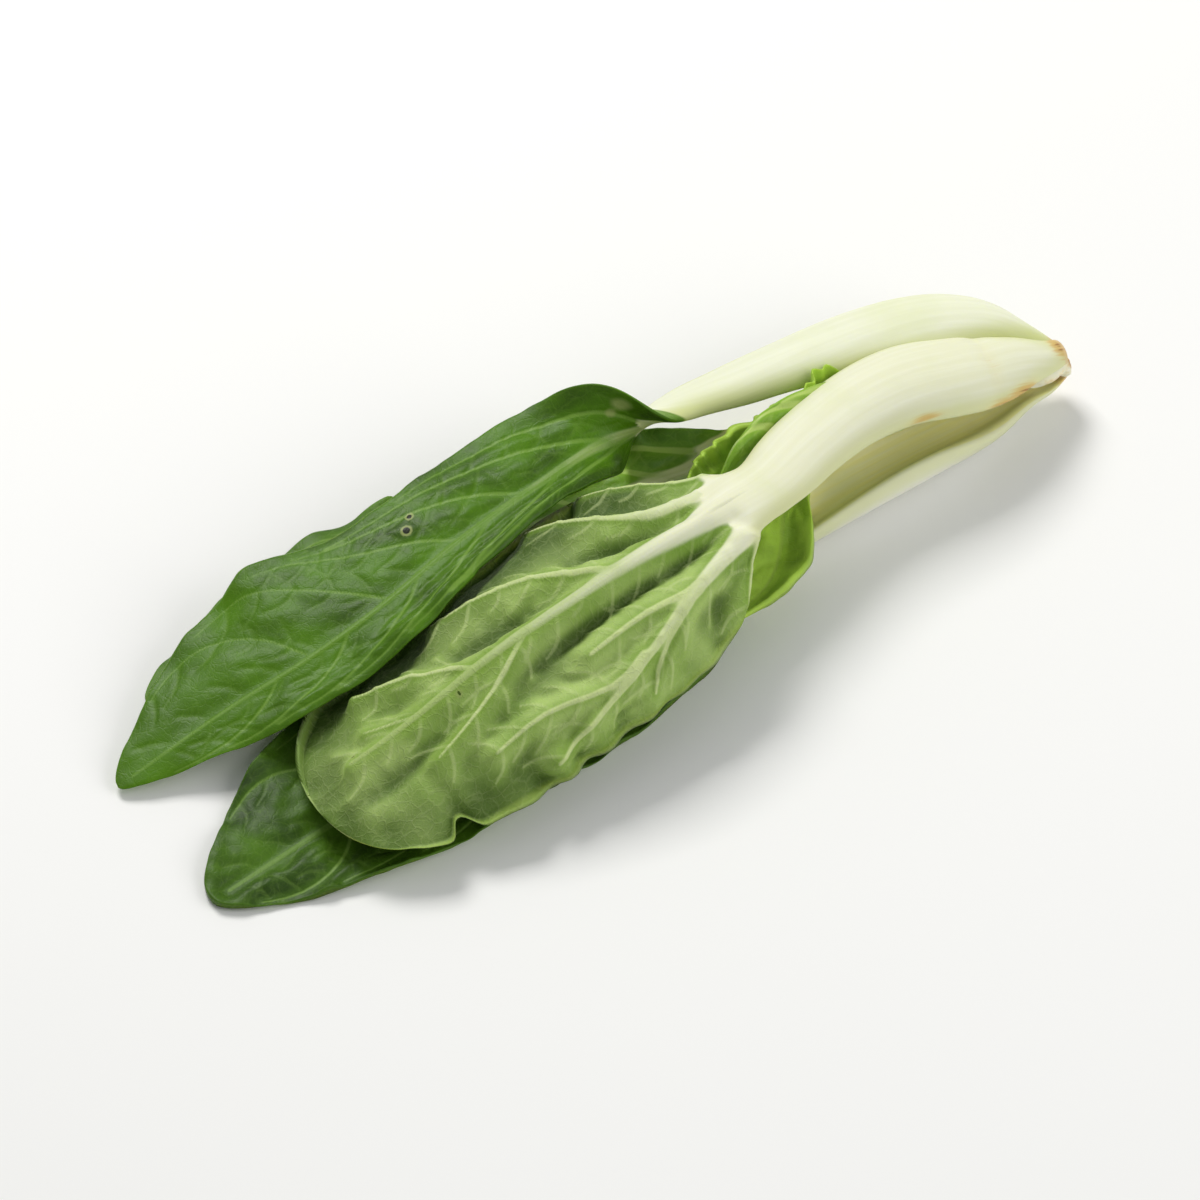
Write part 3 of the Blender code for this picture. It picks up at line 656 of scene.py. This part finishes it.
def leaf_finish(name, upper, lush, under, under_pale, vein_above, vein_below, hollow,
                rind, under_shade=ink(62, 88, 28), bright_tip=NOWHERE, rim_reach=0.7,
                edge=ink(206, 210, 140), shadow_band=NOWHERE, gloss=0.40):
    """The skin of one leaf, from wet waxy stalk to blade.

    Each face of the blade is two greens by a patchy noise, and each feature is laid over
    it as a share of one more colour: that share is a soft step of the distance to a vein,
    to the rim, or of how far the blade bulges.  The stalk's skin is built up in the same
    way, with fibres along it, and covers the blade where the number "white" is high.  The
    bump is the fibres on the stalk, and the net of cells' edges on the blade.

    upper, lush        the blade's upper face, and where it is thin and bright
    under, under_pale  its underside, and under_shade, a painted shade in its hollows
    vein_above, below  the veins on each face
    hollow, rind       the stalk's hollow inner face and its rounded outer face
    bright_tip         mm from the butt where the blade starts and ends turning lush
    rim_reach          how far the lush margin reaches into the blade, in mm
    edge               the stalk's thin sides: partly their own greener colour, partly painted shade
    dusk               mm across where the underside starts and ends turning under_shade, a painted shadow
    gloss              how rough the blade's upper face is
    """
    finish, wire, shader = new_finish(
        name, Subsurface_Weight=0.16, Subsurface_Radius=(0.9, 1.0, 0.3),
        Subsurface_Scale=0.0018, Specular_IOR_Level=0.2)
    flat = wire.node("ShaderNodeUVMap", {"uv_map": "flat"})
    place = wire.node("ShaderNodeTexCoord", out=3)
    along, across = (wire.node("ShaderNodeSeparateXYZ", {}, {0: flat}, out=k) * (1 / FLAT_SCALE)
                     for k in (0, 1))
    face, flesh, vein, net = (wire.layer(k) for k in ("face", "flesh", "vein", "net"))
    rim, bulge, white = (wire.layer(k) for k in ("rim", "bulge", "white"))
    stretch = wire.node("ShaderNodeVectorMath", {"operation": "MULTIPLY"},
                        {0: flat, 1: (2.2, 62.0, 1.0)})
    fibres = wire.cloud(stretch, 1.0, 3.0)
    patches = wire.cloud(place, 55.0, 4.0)
    grain = wire.cloud(place, 420.0, 3.0)
    inside = face.between(0.35, 0.65)

    drift = wire.cloud(flat, 22.0, 2.0, out=1)
    bent = wire.node("ShaderNodeMix", {"data_type": "VECTOR"}, {0: 0.045, 4: flat, 5: drift}, 1)
    cells = [wire.node("ShaderNodeTexVoronoi", {"feature": "DISTANCE_TO_EDGE"},
                       {"Vector": bent, "Scale": scale, "Randomness": 1.0})
             for scale in (36.0, 95.0)]
    mesh_line = 1 - cells[0].between(0.0, 0.10)
    hair_line = 1 - cells[1].between(0.0, 0.13)

    over_side = patches.between(0.35, 0.68).tint(upper, lush)
    over_side = (bulge.between(-0.6, 2.2) * 0.25).tint(over_side, lush)
    over_side = (along.between(*bright_tip) * 0.6).tint(over_side, lush)
    under_side = patches.between(0.38, 0.66).tint(under, under_pale)
    # Painted shade in the underside's hollows between the veins, where the blade bulges towards its
    # inner face.
    under_side = (bulge.between(1.7, 4.8) * 0.8).tint(under_side, under_shade)
    # A painted shadow: the underside darkens across a band of the leaf, where another leaf
    # overhangs it.
    under_side = (across.between(*shadow_band) * 0.9).tint(under_side, under_shade)
    blade = inside.tint(under_side, over_side)
    line_colour = inside.tint(vein_below, vein_above)
    threads = mesh_line * 0.09 + hair_line * 0.04
    blade = threads.tint(blade, line_colour)
    blade = ((1 - net.between(-0.05, 0.36)) * (0.34 - inside * 0.18)).tint(blade, line_colour)
    blade = ((1 - vein.between(0.1, 1.9)) * 0.45).tint(blade, lush)
    blade = ((1 - vein.between(-0.25, 0.25)) * (0.9 - inside * 0.15)).tint(blade, line_colour)
    blade = ((1 - flesh.between(-0.1, 0.35)) * 0.9).tint(blade, line_colour)
    blade = ((1 - rim.between(0.1, rim_reach)) * 0.6).tint(blade, lush)
    blade = (grain.between(0.62, 0.8) * 0.25).tint(blade, under)
    spot = wire.layer("spot")
    blade = (spot.between(0.03, 0.22) * 0.6).tint(blade, ink(168, 176, 112))
    # A deep spot's middle is painted shade for the hole.
    blade = spot.between(0.38, 0.5).tint(blade, ink(24, 30, 8))

    skin = inside.tint(rind, hollow)
    skin = (fibres.between(0.35, 0.75) * 0.35).tint(skin, ink(244, 246, 230))
    skin = (patches.between(0.5, 0.75) * 0.28).tint(skin, ink(212, 220, 160))
    # The stalk's thin sides turn to edge: partly their own greener colour, partly painted shade.
    skin = ((1 - rim.between(0.8, 5.5)) * 0.6).tint(skin, edge)
    blotch = wire.cloud(stretch, 2.3, 4.0)
    stain = wire.layer("stain")
    skin = (stain.between(0.05, 0.8) * 0.5).tint(skin, ink(222, 208, 128))
    skin = ((stain + blotch * 0.9 - 0.45).between(0.3, 0.75) * 0.75).tint(skin, ink(206, 166, 88))
    skin = ((stain * blotch).between(0.40, 0.52) * 0.8).tint(skin, ink(146, 98, 46))
    skin = ((1 - along.between(0.3, 1.6)) * 0.8).tint(skin, ink(220, 192, 146))
    fringe = (white + fibres * 0.3 - 0.15).between(0.12, 0.85)
    halo = (1 - flesh.between(0.2, 2.8)) * 0.5
    colour = fringe.tint(halo.tint(blade, lush), skin)

    height = (fibres * 0.9 * fringe + (mesh_line * 0.55 + hair_line * 0.3) * (1 - fringe)
              * (1 - inside * 1.35) + grain * 0.10)
    bump = wire.node("ShaderNodeBump", {}, {
        "Strength": 0.55, "Distance": 0.00022, "Height": height})
    rough = fringe * (0.30 - gloss) + (gloss + 0.14 * (1 - inside)) + patches * 0.10
    connect(wire, shader, Base_Color=colour, Roughness=rough, Normal=bump)
    return finish


leaf(
    "outer_leaf_bottom",
    path=[
        (*around(-0.6, 4.6, 258), 78), (*around(-5, 6.4, 258), 80), (-11, -1.3, 5.0, 82),
        (-20, -1.2, 3.1, 84), (-40, -1, 2.9, 86), (-62, -1.2, 2.9, 90), (-90, -2.6, 2.4, 90),
        (-130, -8, 2.0, 90), (-190, -14, 2.0, 92), (-240, -19, 1.2, 90),
    ],
    outline=[
        (0, 3.0, 3.0), (0.04, 4.8, 4.8), (0.09, 8.2, 8.2), (0.16, 12.6, 13), (0.26, 13, 13.6),
        (0.34, 11, 11.8), (0.38, 11, 12), (0.44, 18, 18), (0.55, 26, 23), (0.7, 29, 24),
        (0.86, 27, 21), (1, 20, 14),
    ],
    cup=[(0, 42, 42), (0.08, 60, 60), (0.18, 86, 92), (0.34, 62, 70), (0.45, 22, 18),
         (0.7, 16, 12), (1, 5, 5)],
    stalk=[(0, 0.9), (0.03, 1.8), (0.08, 3.9), (0.16, 5.0), (0.34, 3.8), (0.45, 2.8),
           (0.7, 1.9), (1, 0.9)],
    midrib=[(0, 24), (90, 14), (101, 4.2), (120, 2.4), (160, 1.4), (200, 0.8), (236, 0.3)],
    tip=(0.74, 2.2), blunt=5.0, seed=11, pairs=5, weight=0.6, cols=120,
    ruffle=[(-1, 110, 236, 1.2, 21), (1, 110, 236, 1.2, 24)],
    finish=leaf_finish(
        "outer leaf, upper face out", upper=ink(36, 62, 8), lush=ink(74, 112, 20),
        under=ink(128, 160, 78), under_pale=ink(146, 174, 92), vein_above=ink(120, 154, 66),
        vein_below=ink(184, 204, 128), hollow=ink(246, 240, 164), rind=ink(244, 244, 230)),
)

# The outer leaf on the far side of that one, hidden under the heap: as fleshy a stalk,
# and a deep green blade pressed flat by what lies on it.
deep_green = leaf_finish(
    "deep green leaf", upper=ink(64, 98, 28), lush=ink(92, 134, 32), under=ink(126, 158, 78),
    under_pale=ink(144, 172, 92), vein_above=ink(124, 158, 70), vein_below=ink(184, 204, 128),
    hollow=ink(206, 208, 150), rind=ink(230, 232, 204))
leaf(
    "outer_leaf_back",
    path=[
        (*around(-0.6, 3.4, 326), 146), (*around(-5, 4.8, 326), 146), (-11, 8.4, 8.0, 140),
        (-20, 12.8, 6.0, 134), (-40, 17, 3.8, 118), (-62, 18, 3.2, 108), (-85, 20, 3.4, 100),
        (-125, 25, 6.0, 94), (-165, 30, 6.0, 90), (-200, 33, 3.0, 90), (-222, 35, 1.6, 90),
    ],
    outline=[
        (0, 2.2, 2.2), (0.04, 3.4, 3.4), (0.09, 6.5, 6.5), (0.16, 8.6, 8.6), (0.3, 7.4, 7.4),
        (0.38, 7.5, 7.5), (0.44, 15, 11), (0.55, 25, 13), (0.7, 27, 13), (0.86, 24, 12),
        (1, 16, 9),
    ],
    cup=[(0, 36, 36), (0.1, 45, 45), (0.3, 55, 55), (0.42, 30, 30), (0.55, -14, -14),
         (0.75, -20, -20), (1, -8, -8)],
    stalk=[(0, 0.8), (0.03, 1.5), (0.08, 2.9), (0.16, 4.4), (0.38, 3.4), (0.5, 2.4),
           (0.75, 1.7), (1, 0.9)],
    midrib=[(0, 20), (86, 10), (98, 3.6), (120, 2.0), (160, 1.2), (200, 0.6), (222, 0.3)],
    tip=(0.72, 2.2), clear=80, seed=21, weight=0.7, cols=90, step=0.8, finish=deep_green,
    ruffle=[(-1, 110, 222, 1.4, 19), (1, 110, 222, 1.6, 22)],
)

# The inner leaf on the far side, lying on the hidden outer one: a narrower stalk and a
# smaller, fresher blade.
fresh_green = leaf_finish(
    "fresh green leaf", upper=ink(84, 124, 34), lush=ink(118, 160, 44), under=ink(132, 162, 90),
    under_pale=ink(150, 178, 104), vein_above=ink(170, 196, 100), vein_below=ink(204, 218, 156),
    hollow=ink(214, 218, 164), rind=ink(232, 236, 208), gloss=0.36)
leaf(
    "inner_leaf_back",
    path=[
        (*around(-7.5, 4.5, 10), 190), (*around(-12, 6.6, 6), 186), (-20, 9.6, 12.6, 176),
        (-35, 12.4, 12.0, 160), (-60, 15.4, 10.0, 136), (-90, 19, 8.0, 108),
        (-125, 24, 8, 94), (-165, 29, 8.0, 88), (-192, 32, 5.0, 90),
    ],
    outline=[
        (0, 2.4, 2.4), (0.06, 3.6, 3.6), (0.14, 5.4, 5.4), (0.28, 5.4, 5.4), (0.36, 6, 6),
        (0.46, 13, 9), (0.6, 21, 12), (0.78, 23, 12), (1, 15, 9),
    ],
    cup=[(0, 36, 36), (0.15, 45, 45), (0.35, 40, 40), (0.5, 5, 5), (0.75, -16, -18), (1, -5, -5)],
    stalk=[(0, 0.8), (0.06, 1.5), (0.14, 2.8), (0.35, 2.8), (0.5, 2.0), (0.75, 1.5), (1, 0.9)],
    midrib=[(0, 16), (66, 8), (78, 3.0), (100, 1.8), (140, 1.0), (186, 0.3)],
    tip=(0.72, 2.2), clear=57, seed=31, weight=0.7, cols=80, step=0.8, finish=fresh_green,
    ruffle=[(-1, 80, 186, 1.4, 13), (1, 80, 186, 1.4, 15)],
)

# The inner leaf below the top one: its far margin stands up as a crisp frill, and its
# near half hangs out as a smooth lobe.
leaf(
    "inner_leaf_lower",
    path=[
        (*around(-7.5, 4.4, 300), 118), (*around(-11, 5.2, 300), 118), (-18, 4.0, 8.6, 114),
        (-30, 4.8, 9.2, 112), (-48, 4.6, 11.0, 112), (-62, 3.6, 12.8, 112),
        (-73, 1.0, 13, 108), (-84, -1.6, 13.4, 102), (-100, -5, 14, 92),
        (-130, -8, 14, 84), (-158, -10, 10, 84),
    ],
    outline=[
        (0, 2.6, 2.6), (0.05, 3.4, 3.4), (0.12, 4.6, 3.6), (0.2, 5, 2.2), (0.26, 8, 1.8),
        (0.3, 18, 1.8), (0.38, 18.5, 1.8), (0.43, 18.5, 5), (0.475, 19, 12), (0.52, 18, 18),
        (0.58, 14, 21), (0.7, 11, 21), (0.82, 11, 20), (1, 9, 14),
    ],
    cup=[(0, 38, 38), (0.15, 50, 50), (0.25, 67, 40), (0.4, 66, 35), (0.48, 44, 24),
         (0.56, 10, 14), (0.7, -6, 6), (1, 0, 5)],
    stalk=[(0, 0.8), (0.06, 1.4), (0.14, 2.4), (0.3, 2.6), (0.5, 2.0), (0.75, 1.5), (1, 0.9)],
    midrib=[(0, 14), (54, 5), (62, 3.2), (80, 2.0), (110, 1.2), (150, 0.3)],
    tip=(0.72, 2.2), clear=46, seed=41, cols=120, step=0.5, weight=0.45, pairs=3, waves=0.6,
    ruffle=[(-1, 34, 150, 1.4, 9), (-1, 34, 150, 0.9, 4.1), (1, 60, 150, 0.8, 14)],
    # The frill's bright lush colour, its wide lush margin and the lush span up to 68 mm from the
    # butt, fading out by 84, are partly the young leaf's own yellow-green, partly painted light, as
    # the frill faces away from the key lamp.
    finish=leaf_finish(
        "frilled leaf", upper=ink(68, 100, 12), lush=ink(176, 214, 78), under=ink(122, 160, 56),
        under_pale=ink(146, 182, 70), vein_above=ink(160, 190, 80), vein_below=ink(204, 218, 140),
        hollow=ink(214, 218, 164), rind=ink(232, 236, 208), rim_reach=3.0, bright_tip=(84, 68),
        gloss=0.36),
)

# Three small heart leaves, one inside the other, between the inner leaves: the youngest
# and brightest, with hardly any crinkle yet.
heart_green = leaf_finish(
    "heart leaf", upper=ink(104, 148, 40), lush=ink(146, 186, 62), under=ink(140, 172, 92),
    under_pale=ink(160, 190, 106), vein_above=ink(190, 212, 118), vein_below=ink(208, 222, 160),
    hollow=ink(224, 228, 180), rind=ink(230, 236, 200), gloss=0.34)
for name, path, outline, cup, stalk, midrib, tip, clear, seed in (
    ("heart_leaf_outer",
     [(*around(-11, 3.6, 20), 200), (-16, 3.6, 13.2, 190), (-30, 4.2, 12.6, 150),
      (-50, 6.0, 14.2, 120), (-72, 5.4, 16, 110), (-92, 3, 17.0, 104)],
     [(0, 1.3, 1.3), (0.1, 2.2, 2.2), (0.3, 2.4, 2.4), (0.42, 3.6, 3.6), (0.65, 6.5, 6.5),
      (0.85, 6.5, 6.5), (1, 4, 4)],
     [(0, 30, 30), (0.3, 40, 40), (0.6, 36, 36), (1, 20, 20)],
     [(0, 0.7), (0.1, 1.3), (0.4, 1.5), (0.7, 1.2), (1, 0.9)],
     [(0, 8), (26, 4), (36, 1.2), (60, 0.6), (80, 0.2)], (0.7, 2.2), 32, 51),
    ("heart_leaf_middle",
     [(*around(-11, 3.6, 235), 55), (-16, -1.4, 10.8, 60), (-30, 0.4, 13.4, 70),
      (-50, 2.4, 17.0, 84), (-66, 1.6, 19.4, 90)],
     [(0, 1.2, 1.2), (0.1, 1.9, 1.9), (0.3, 2.0, 2.0), (0.45, 2.8, 2.8), (0.7, 4.8, 4.8),
      (0.88, 4.6, 4.6), (1, 4, 4)],
     [(0, 30, 30), (0.3, 30, 30), (0.6, 25, 25), (1, 10, 10)],
     [(0, 0.7), (0.1, 1.1), (0.4, 1.2), (0.7, 1.1), (1, 0.9)],
     [(0, 8), (18, 4), (26, 1.0), (42, 0.5), (55, 0.2)], (0.7, 2.2), 25.6, 61),
    ("heart_leaf_small",
     [(*around(-13, 3.0, 110), 290), (-18, 0.2, 15.2, 290), (-30, 1.8, 16.6, 288),
      (-42, 2.6, 18.4, 280), (-53, 2.8, 20.2, 275)],
     [(0, 1.1, 1.1), (0.15, 1.6, 1.6), (0.35, 1.9, 1.9), (0.7, 3.6, 3.6), (1, 3, 3)],
     [(0, 30, 30), (0.4, 30, 30), (1, 15, 15)],
     [(0, 0.6), (0.15, 1.0), (0.6, 1.0), (1, 0.8)],
     [(0, 8), (12, 4), (19, 0.8), (30, 0.4), (40, 0.2)], (0.65, 2.2), 18, 71),
):
    leaf(name, path, outline, cup, stalk, midrib, tip, heart_green, clear=clear, seed=seed,
         pairs=4, waves=0.25, puff=0.35, step=0.5, cols=48)

# The inner leaf right under the top one, underside up: a slimmer stalk and a fresher
# blade, which lies between the heap and the top leaf.
leaf(
    "inner_leaf_upper",
    path=[
        (*around(-7.5, 4.3, 92), 272), (*around(-12, 6.0, 92), 272), (-20, 0.2, 18.6, 272),
        (-35, 2.6, 22.4, 272), (-60, 2.6, 24.4, 272), (-90, -4.6, 26.0, 270),
        (-125, -10, 26.0, 270), (-160, -11, 21.0, 270), (-184, -11, 14.0, 270),
    ],
    outline=[
        (0, 2.4, 2.4), (0.06, 3.8, 3.8), (0.14, 4.6, 5.2), (0.3, 3.8, 5.0), (0.44, 3.6, 5.0),
        (0.52, 11, 13), (0.64, 24, 20), (0.8, 26, 22), (1, 16, 16),
    ],
    cup=[(0, 36, 36), (0.15, 48, 48), (0.42, 44, 44), (0.6, 52, 50), (0.8, 48, 46), (1, 20, 20)],
    stalk=[(0, 0.8), (0.06, 1.5), (0.14, 2.6), (0.4, 2.6), (0.55, 2.0), (0.75, 1.5), (1, 0.9)],
    midrib=[(0, 14), (76, 6), (86, 2.6), (110, 1.6), (150, 0.9), (178, 0.3)],
    tip=(0.72, 2.2), clear=78, seed=81, cols=80, step=0.8, finish=fresh_green, waves=0.5,
    puff=0.6,
)

# The outer leaf on top, underside up: the broadest stalk, fanning out into thick white
# veins, and a wide crinkled blade that lies over the heap as a low dome.
leaf(
    "outer_leaf_top",
    path=[
        (*around(-0.6, 4.8, 110), 290), (-5, -2.1, 17.5, 287), (-12, -2.2, 21.2, 284),
        (-20, -2.2, 24.0, 282), (-31, -1.4, 26.8, 280), (-43, 0.2, 28.9, 280),
        (-56, 0.3, 29.3, 278), (-70, -2.4, 29.6, 276), (-87, -8, 30.6, 274),
        (-97, -9.6, 32, 272), (-135, -13, 33, 270), (-171, -14, 25, 268),
        (-187, -14, 19.5, 268), (-210, -11, 9.5, 268),
    ],
    outline=[
        (0, 3.4, 3.4), (0.04, 6.2, 5.0), (0.08, 9.0, 7.8), (0.115, 10.4, 11.2),
        (0.16, 10.4, 13.2), (0.22, 9.6, 13.4), (0.3, 8.8, 12), (0.36, 8.6, 10.8), (0.42, 8.0, 9.8),
        (0.45, 9.0, 13), (0.475, 13, 19), (0.5, 20, 27), (0.53, 26, 32), (0.57, 30, 34),
        (0.66, 32, 34), (0.8, 32, 32), (0.92, 28, 29), (1, 25, 26),
    ],
    cup=[(0, 42, 42), (0.1, 50, 50), (0.3, 52, 52), (0.43, 40, 44), (0.48, 50, 44),
         (0.56, 60, 46), (0.7, 66, 48), (0.85, 54, 46), (1, 10, 10)],
    stalk=[(0, 0.9), (0.03, 1.8), (0.08, 3.9), (0.16, 5.4), (0.34, 4.6), (0.44, 4.0),
           (0.6, 2.8), (0.8, 1.9), (1, 0.9)],
    midrib=[(0, 22), (88, 10.5), (94, 7.5), (100, 4.6), (107, 2.9), (118, 2.1), (135, 1.5),
            (170, 0.9), (206, 0.35)],
    main=[
        [(88, -4, 4.0), (97, -5, 3.2), (105.5, -8.5, 2.1), (121, -13.3, 1.35),
         (144, -21.5, 0.8), (170, -28, 0.35)],
        [(125, -15, 0.7), (136, -22, 0.5), (142, -28, 0.25)],
        [(121, -13.3, 0.8), (134, -12, 0.65), (150, -12.7, 0.4)],
        [(140, -19, 0.6), (150, -21, 0.6), (166, -17.5, 0.5), (180, -18, 0.3)],
        [(88, -5, 2.2), (96, -7.5, 1.7), (103, -12.5, 1.1), (110, -21, 0.6), (114, -27, 0.3)],
        [(88, 4, 3.4), (97, 4.5, 2.4), (108, 6.5, 1.6), (117, 9, 1.2), (124, 14, 0.9),
         (132, 24, 0.55), (138, 30, 0.3)],
        [(88, 6, 3.0), (95, 8, 1.6), (101, 13, 0.9), (110, 22, 0.6), (120, 32, 0.3)],
        [(133, 0.5, 0.9), (140, 5.6, 0.8), (152.6, 14.2, 0.6), (172, 21, 0.3)],
        [(172, 0.2, 0.6), (184, 10.7, 0.5), (198, 16.5, 0.25)],
        [(188, 0, 0.4), (200, 5, 0.2)],
        [(158, -0.2, 0.55), (172, -6.5, 0.45), (190, -11, 0.2)],
    ],
    tip=(0.86, 3.2), clear=92, seed=91, cols=124,
    folds=[((103, -4.0), (168, -7), 3.4, 2.2), ((112, 3.8), (138, 12), 3.2, 2.4),
           ((142, 4), (180, 9), 2.0, 2.6), ((172, -6), (206, -9), 1.6, 2.2),
           ((128, -17), (142, -26), 1.6, 1.4),
           ((146, -27), (153, -29), 1.2, 1.0), ((158, -23), (167, -26), 1.1, 1.0),
           ((25, -8), (23, 9), 0.7, 2.2)],
    puff=2.0, nicks=[(-1, 194, 5.0, 2.2)],
    spots=[(178, -2, 0.9, 0.9), (205, 2, 0.9, 0.9), (112, 12, 1.1, 0.9), (126, 20, 1.0, 0.9)],
    stains=[(1, 1, 4, 4, 0.9), (15, -8.5, 7, 2.6, 1.0), (22, -10, 6, 1.8, 0.9),
            (44, -8.4, 6, 1.0, 0.75), (16, 9, 12, 2.0, 0.75), (36, 13, 10, 1.4, 0.5),
            (24, -2, 3, 9, 0.3)],
    ruffle=[(-1, 108, 200, 1.5, 15), (1, 130, 205, 0.8, 21)],
    finish=leaf_finish(
        "outer leaf, underside out", upper=ink(70, 104, 30), lush=ink(122, 158, 50),
        under=ink(138, 168, 80), under_pale=ink(168, 194, 110), vein_above=ink(130, 162, 76),
        vein_below=ink(200, 214, 150), hollow=ink(200, 204, 140), rind=ink(228, 229, 198),
        # Painted shadow across the far flank, under the far leaf's overhanging blade.
        shadow_band=(10, 24)),
)

# The outer leaf on the far side: its stalk bows out from the butt, then the leaf turns
# over so that its blade lies inner face up, across the top leaf's far flank.
leaf(
    "outer_leaf_far",
    path=[
        (*around(-0.6, 3.5, 40), 224), (-5, 6.5, 17.6, 232), (-11, 11.0, 22.6, 242),
        (-20, 15.2, 25.6, 250), (-30, 18.4, 26.6, 254), (-40, 20.8, 26.4, 256),
        (-60, 24.4, 24.5, 256), (-74, 26.8, 22.8, 252), (-85, 28.4, 22.2, 240),
        (-94, 28.6, 22.2, 212), (-101, 28, 22.6, 164), (-108, 27, 23.4, 124),
        (-125, 24.5, 24, 106), (-150, 21, 23.0, 102), (-171, 17.5, 20, 100),
        (-191, 17, 15.5, 100), (-210, 18.5, 10.5, 96), (-240, 19, 2.4, 94),
    ],
    outline=[
        (0, 4.2, 6.0), (0.03, 6.0, 8.6), (0.07, 9.0, 10.2), (0.12, 11.4, 10.4),
        (0.2, 10.6, 9.6), (0.3, 7.8, 7.8), (0.38, 7.0, 7.0), (0.4, 8.5, 7.5), (0.415, 9.5, 9),
        (0.435, 12.5, 9), (0.465, 16, 8), (0.54, 20, 8), (0.6, 20, 9), (0.68, 21, 12),
        (0.8, 29.5, 13), (0.9, 25, 12), (1, 14, 8),
    ],
    cup=[(0, 60, 60), (0.1, 54, 50), (0.3, 46, 46), (0.39, 24, 14), (0.43, -14, -6),
         (0.5, -30, -6), (0.65, -22, -6), (0.85, -14, -6), (1, 0, 0)],
    stalk=[(0, 0.8), (0.03, 1.6), (0.08, 3.2), (0.16, 4.8), (0.36, 4.6), (0.4, 3.6),
           (0.44, 2.4), (0.6, 2.0), (0.8, 1.5), (1, 0.9)],
    midrib=[(0, 20), (91, 8), (98, 4.4), (104, 2.0), (114, 1.2), (150, 0.75), (200, 0.5),
            (248, 0.2)],
    tip=(0.74, 1.8), clear=106, seed=101, pairs=6, weight=0.42, cols=112,
    ruffle=[(-1, 110, 248, 0.9, 26), (1, 110, 248, 0.7, 22)], waves=0.34, puff=0.34,
    spots=[(164, -10, 1.5, 1.0), (161, -12.5, 1.1, 1.0), (109, -8, 2.4, 0.3),
           (111, -6, 1.6, 0.3)],
    finish=leaf_finish(
        "outer leaf, turned over", upper=ink(44, 70, 10), lush=ink(78, 122, 8),
        under=ink(126, 158, 78), under_pale=ink(146, 174, 92), vein_above=ink(118, 154, 62),
        vein_below=ink(198, 212, 150), hollow=ink(214, 216, 160), rind=ink(228, 231, 202),
        # This stalk's darker yellow-green sides are partly its own colour, partly painted shade on
        # its shaded lower side.
        edge=ink(188, 196, 88), bright_tip=(170, 245), gloss=0.36),
)

# The floor is a plain pale surface; two broad soft lamps and a pale room light the
# plant; the camera looks down on it from the butt's near side through a long lens.
FLOOR_HALF = 3.0                # metres from the middle of the floor to its sides
floor = bpy.data.objects.new("floor", bpy.data.meshes.new("floor"))
corners = [(sx * FLOOR_HALF, sy * FLOOR_HALF, 0) for sx, sy in ((-1, -1), (1, -1), (1, 1), (-1, 1))]
floor.data.from_pydata(corners, [], [(0, 1, 2, 3)])
bpy.context.scene.collection.objects.link(floor)
paint, paint_wire, paint_shader = new_finish("pale floor", Roughness=0.7)
mottle = paint_wire.cloud(paint_wire.node("ShaderNodeTexCoord", out=3), 3.0)
connect(paint_wire, paint_shader,
        Base_Color=mottle.tint(ink(240, 240, 238), ink(244, 244, 243)))
floor.data.materials.append(paint)

room = bpy.data.worlds.new("room")
room.use_nodes = True
room_light = room.node_tree.nodes["Background"]
room_light.inputs["Color"].default_value = (0.97, 0.99, 1.0, 1.0)
room_light.inputs["Strength"].default_value = 0.38
bpy.context.scene.world = room
bpy.context.scene.view_settings.view_transform = "Standard"


def lamp(name, place, size, power, colour):
    """A square soft lamp, its -Z axis turned along the line to the middle of the plant."""
    light = bpy.data.lights.new(name, "AREA")
    light.size, light.energy, light.color = size, power, colour
    holder = bpy.data.objects.new(name, light)
    holder.location = place
    holder.rotation_euler = (-Vector(place)).to_track_quat("-Z", "Y").to_euler()
    bpy.context.scene.collection.objects.link(holder)


lamp("key", (0.1, 0.8, 1.0), 0.5, 11.4, (1.0, 0.985, 0.96))
lamp("fill", (0.6, -0.85, 0.75), 0.9, 6.0, (1.0, 0.99, 0.97))

AZIMUTH, ELEVATION = math.radians(-34), math.radians(50)
DISTANCE, LENS = 3.0, 400.0
BUTT_RIGHT, BUTT_UP = 0.1037, 0.0547   # metres from the view's middle to the butt
right = Vector((math.cos(AZIMUTH), math.sin(AZIMUTH), 0))
back = Vector((math.sin(AZIMUTH) * math.cos(ELEVATION),
               -math.cos(AZIMUTH) * math.cos(ELEVATION), math.sin(ELEVATION)))
above = back.cross(right)
butt = (Vector(PLACE) + Vector((0, 0, BUTT_HEIGHT))) * MM
camera = bpy.data.objects.new("camera", bpy.data.cameras.new("camera"))
camera.data.lens, camera.data.clip_end = LENS, 100.0
turned = Matrix((right, above, back)).transposed().to_4x4()
turned.translation = butt - BUTT_RIGHT * right - BUTT_UP * above + back * DISTANCE
camera.matrix_world = turned
bpy.context.scene.collection.objects.link(camera)
bpy.context.scene.camera = camera
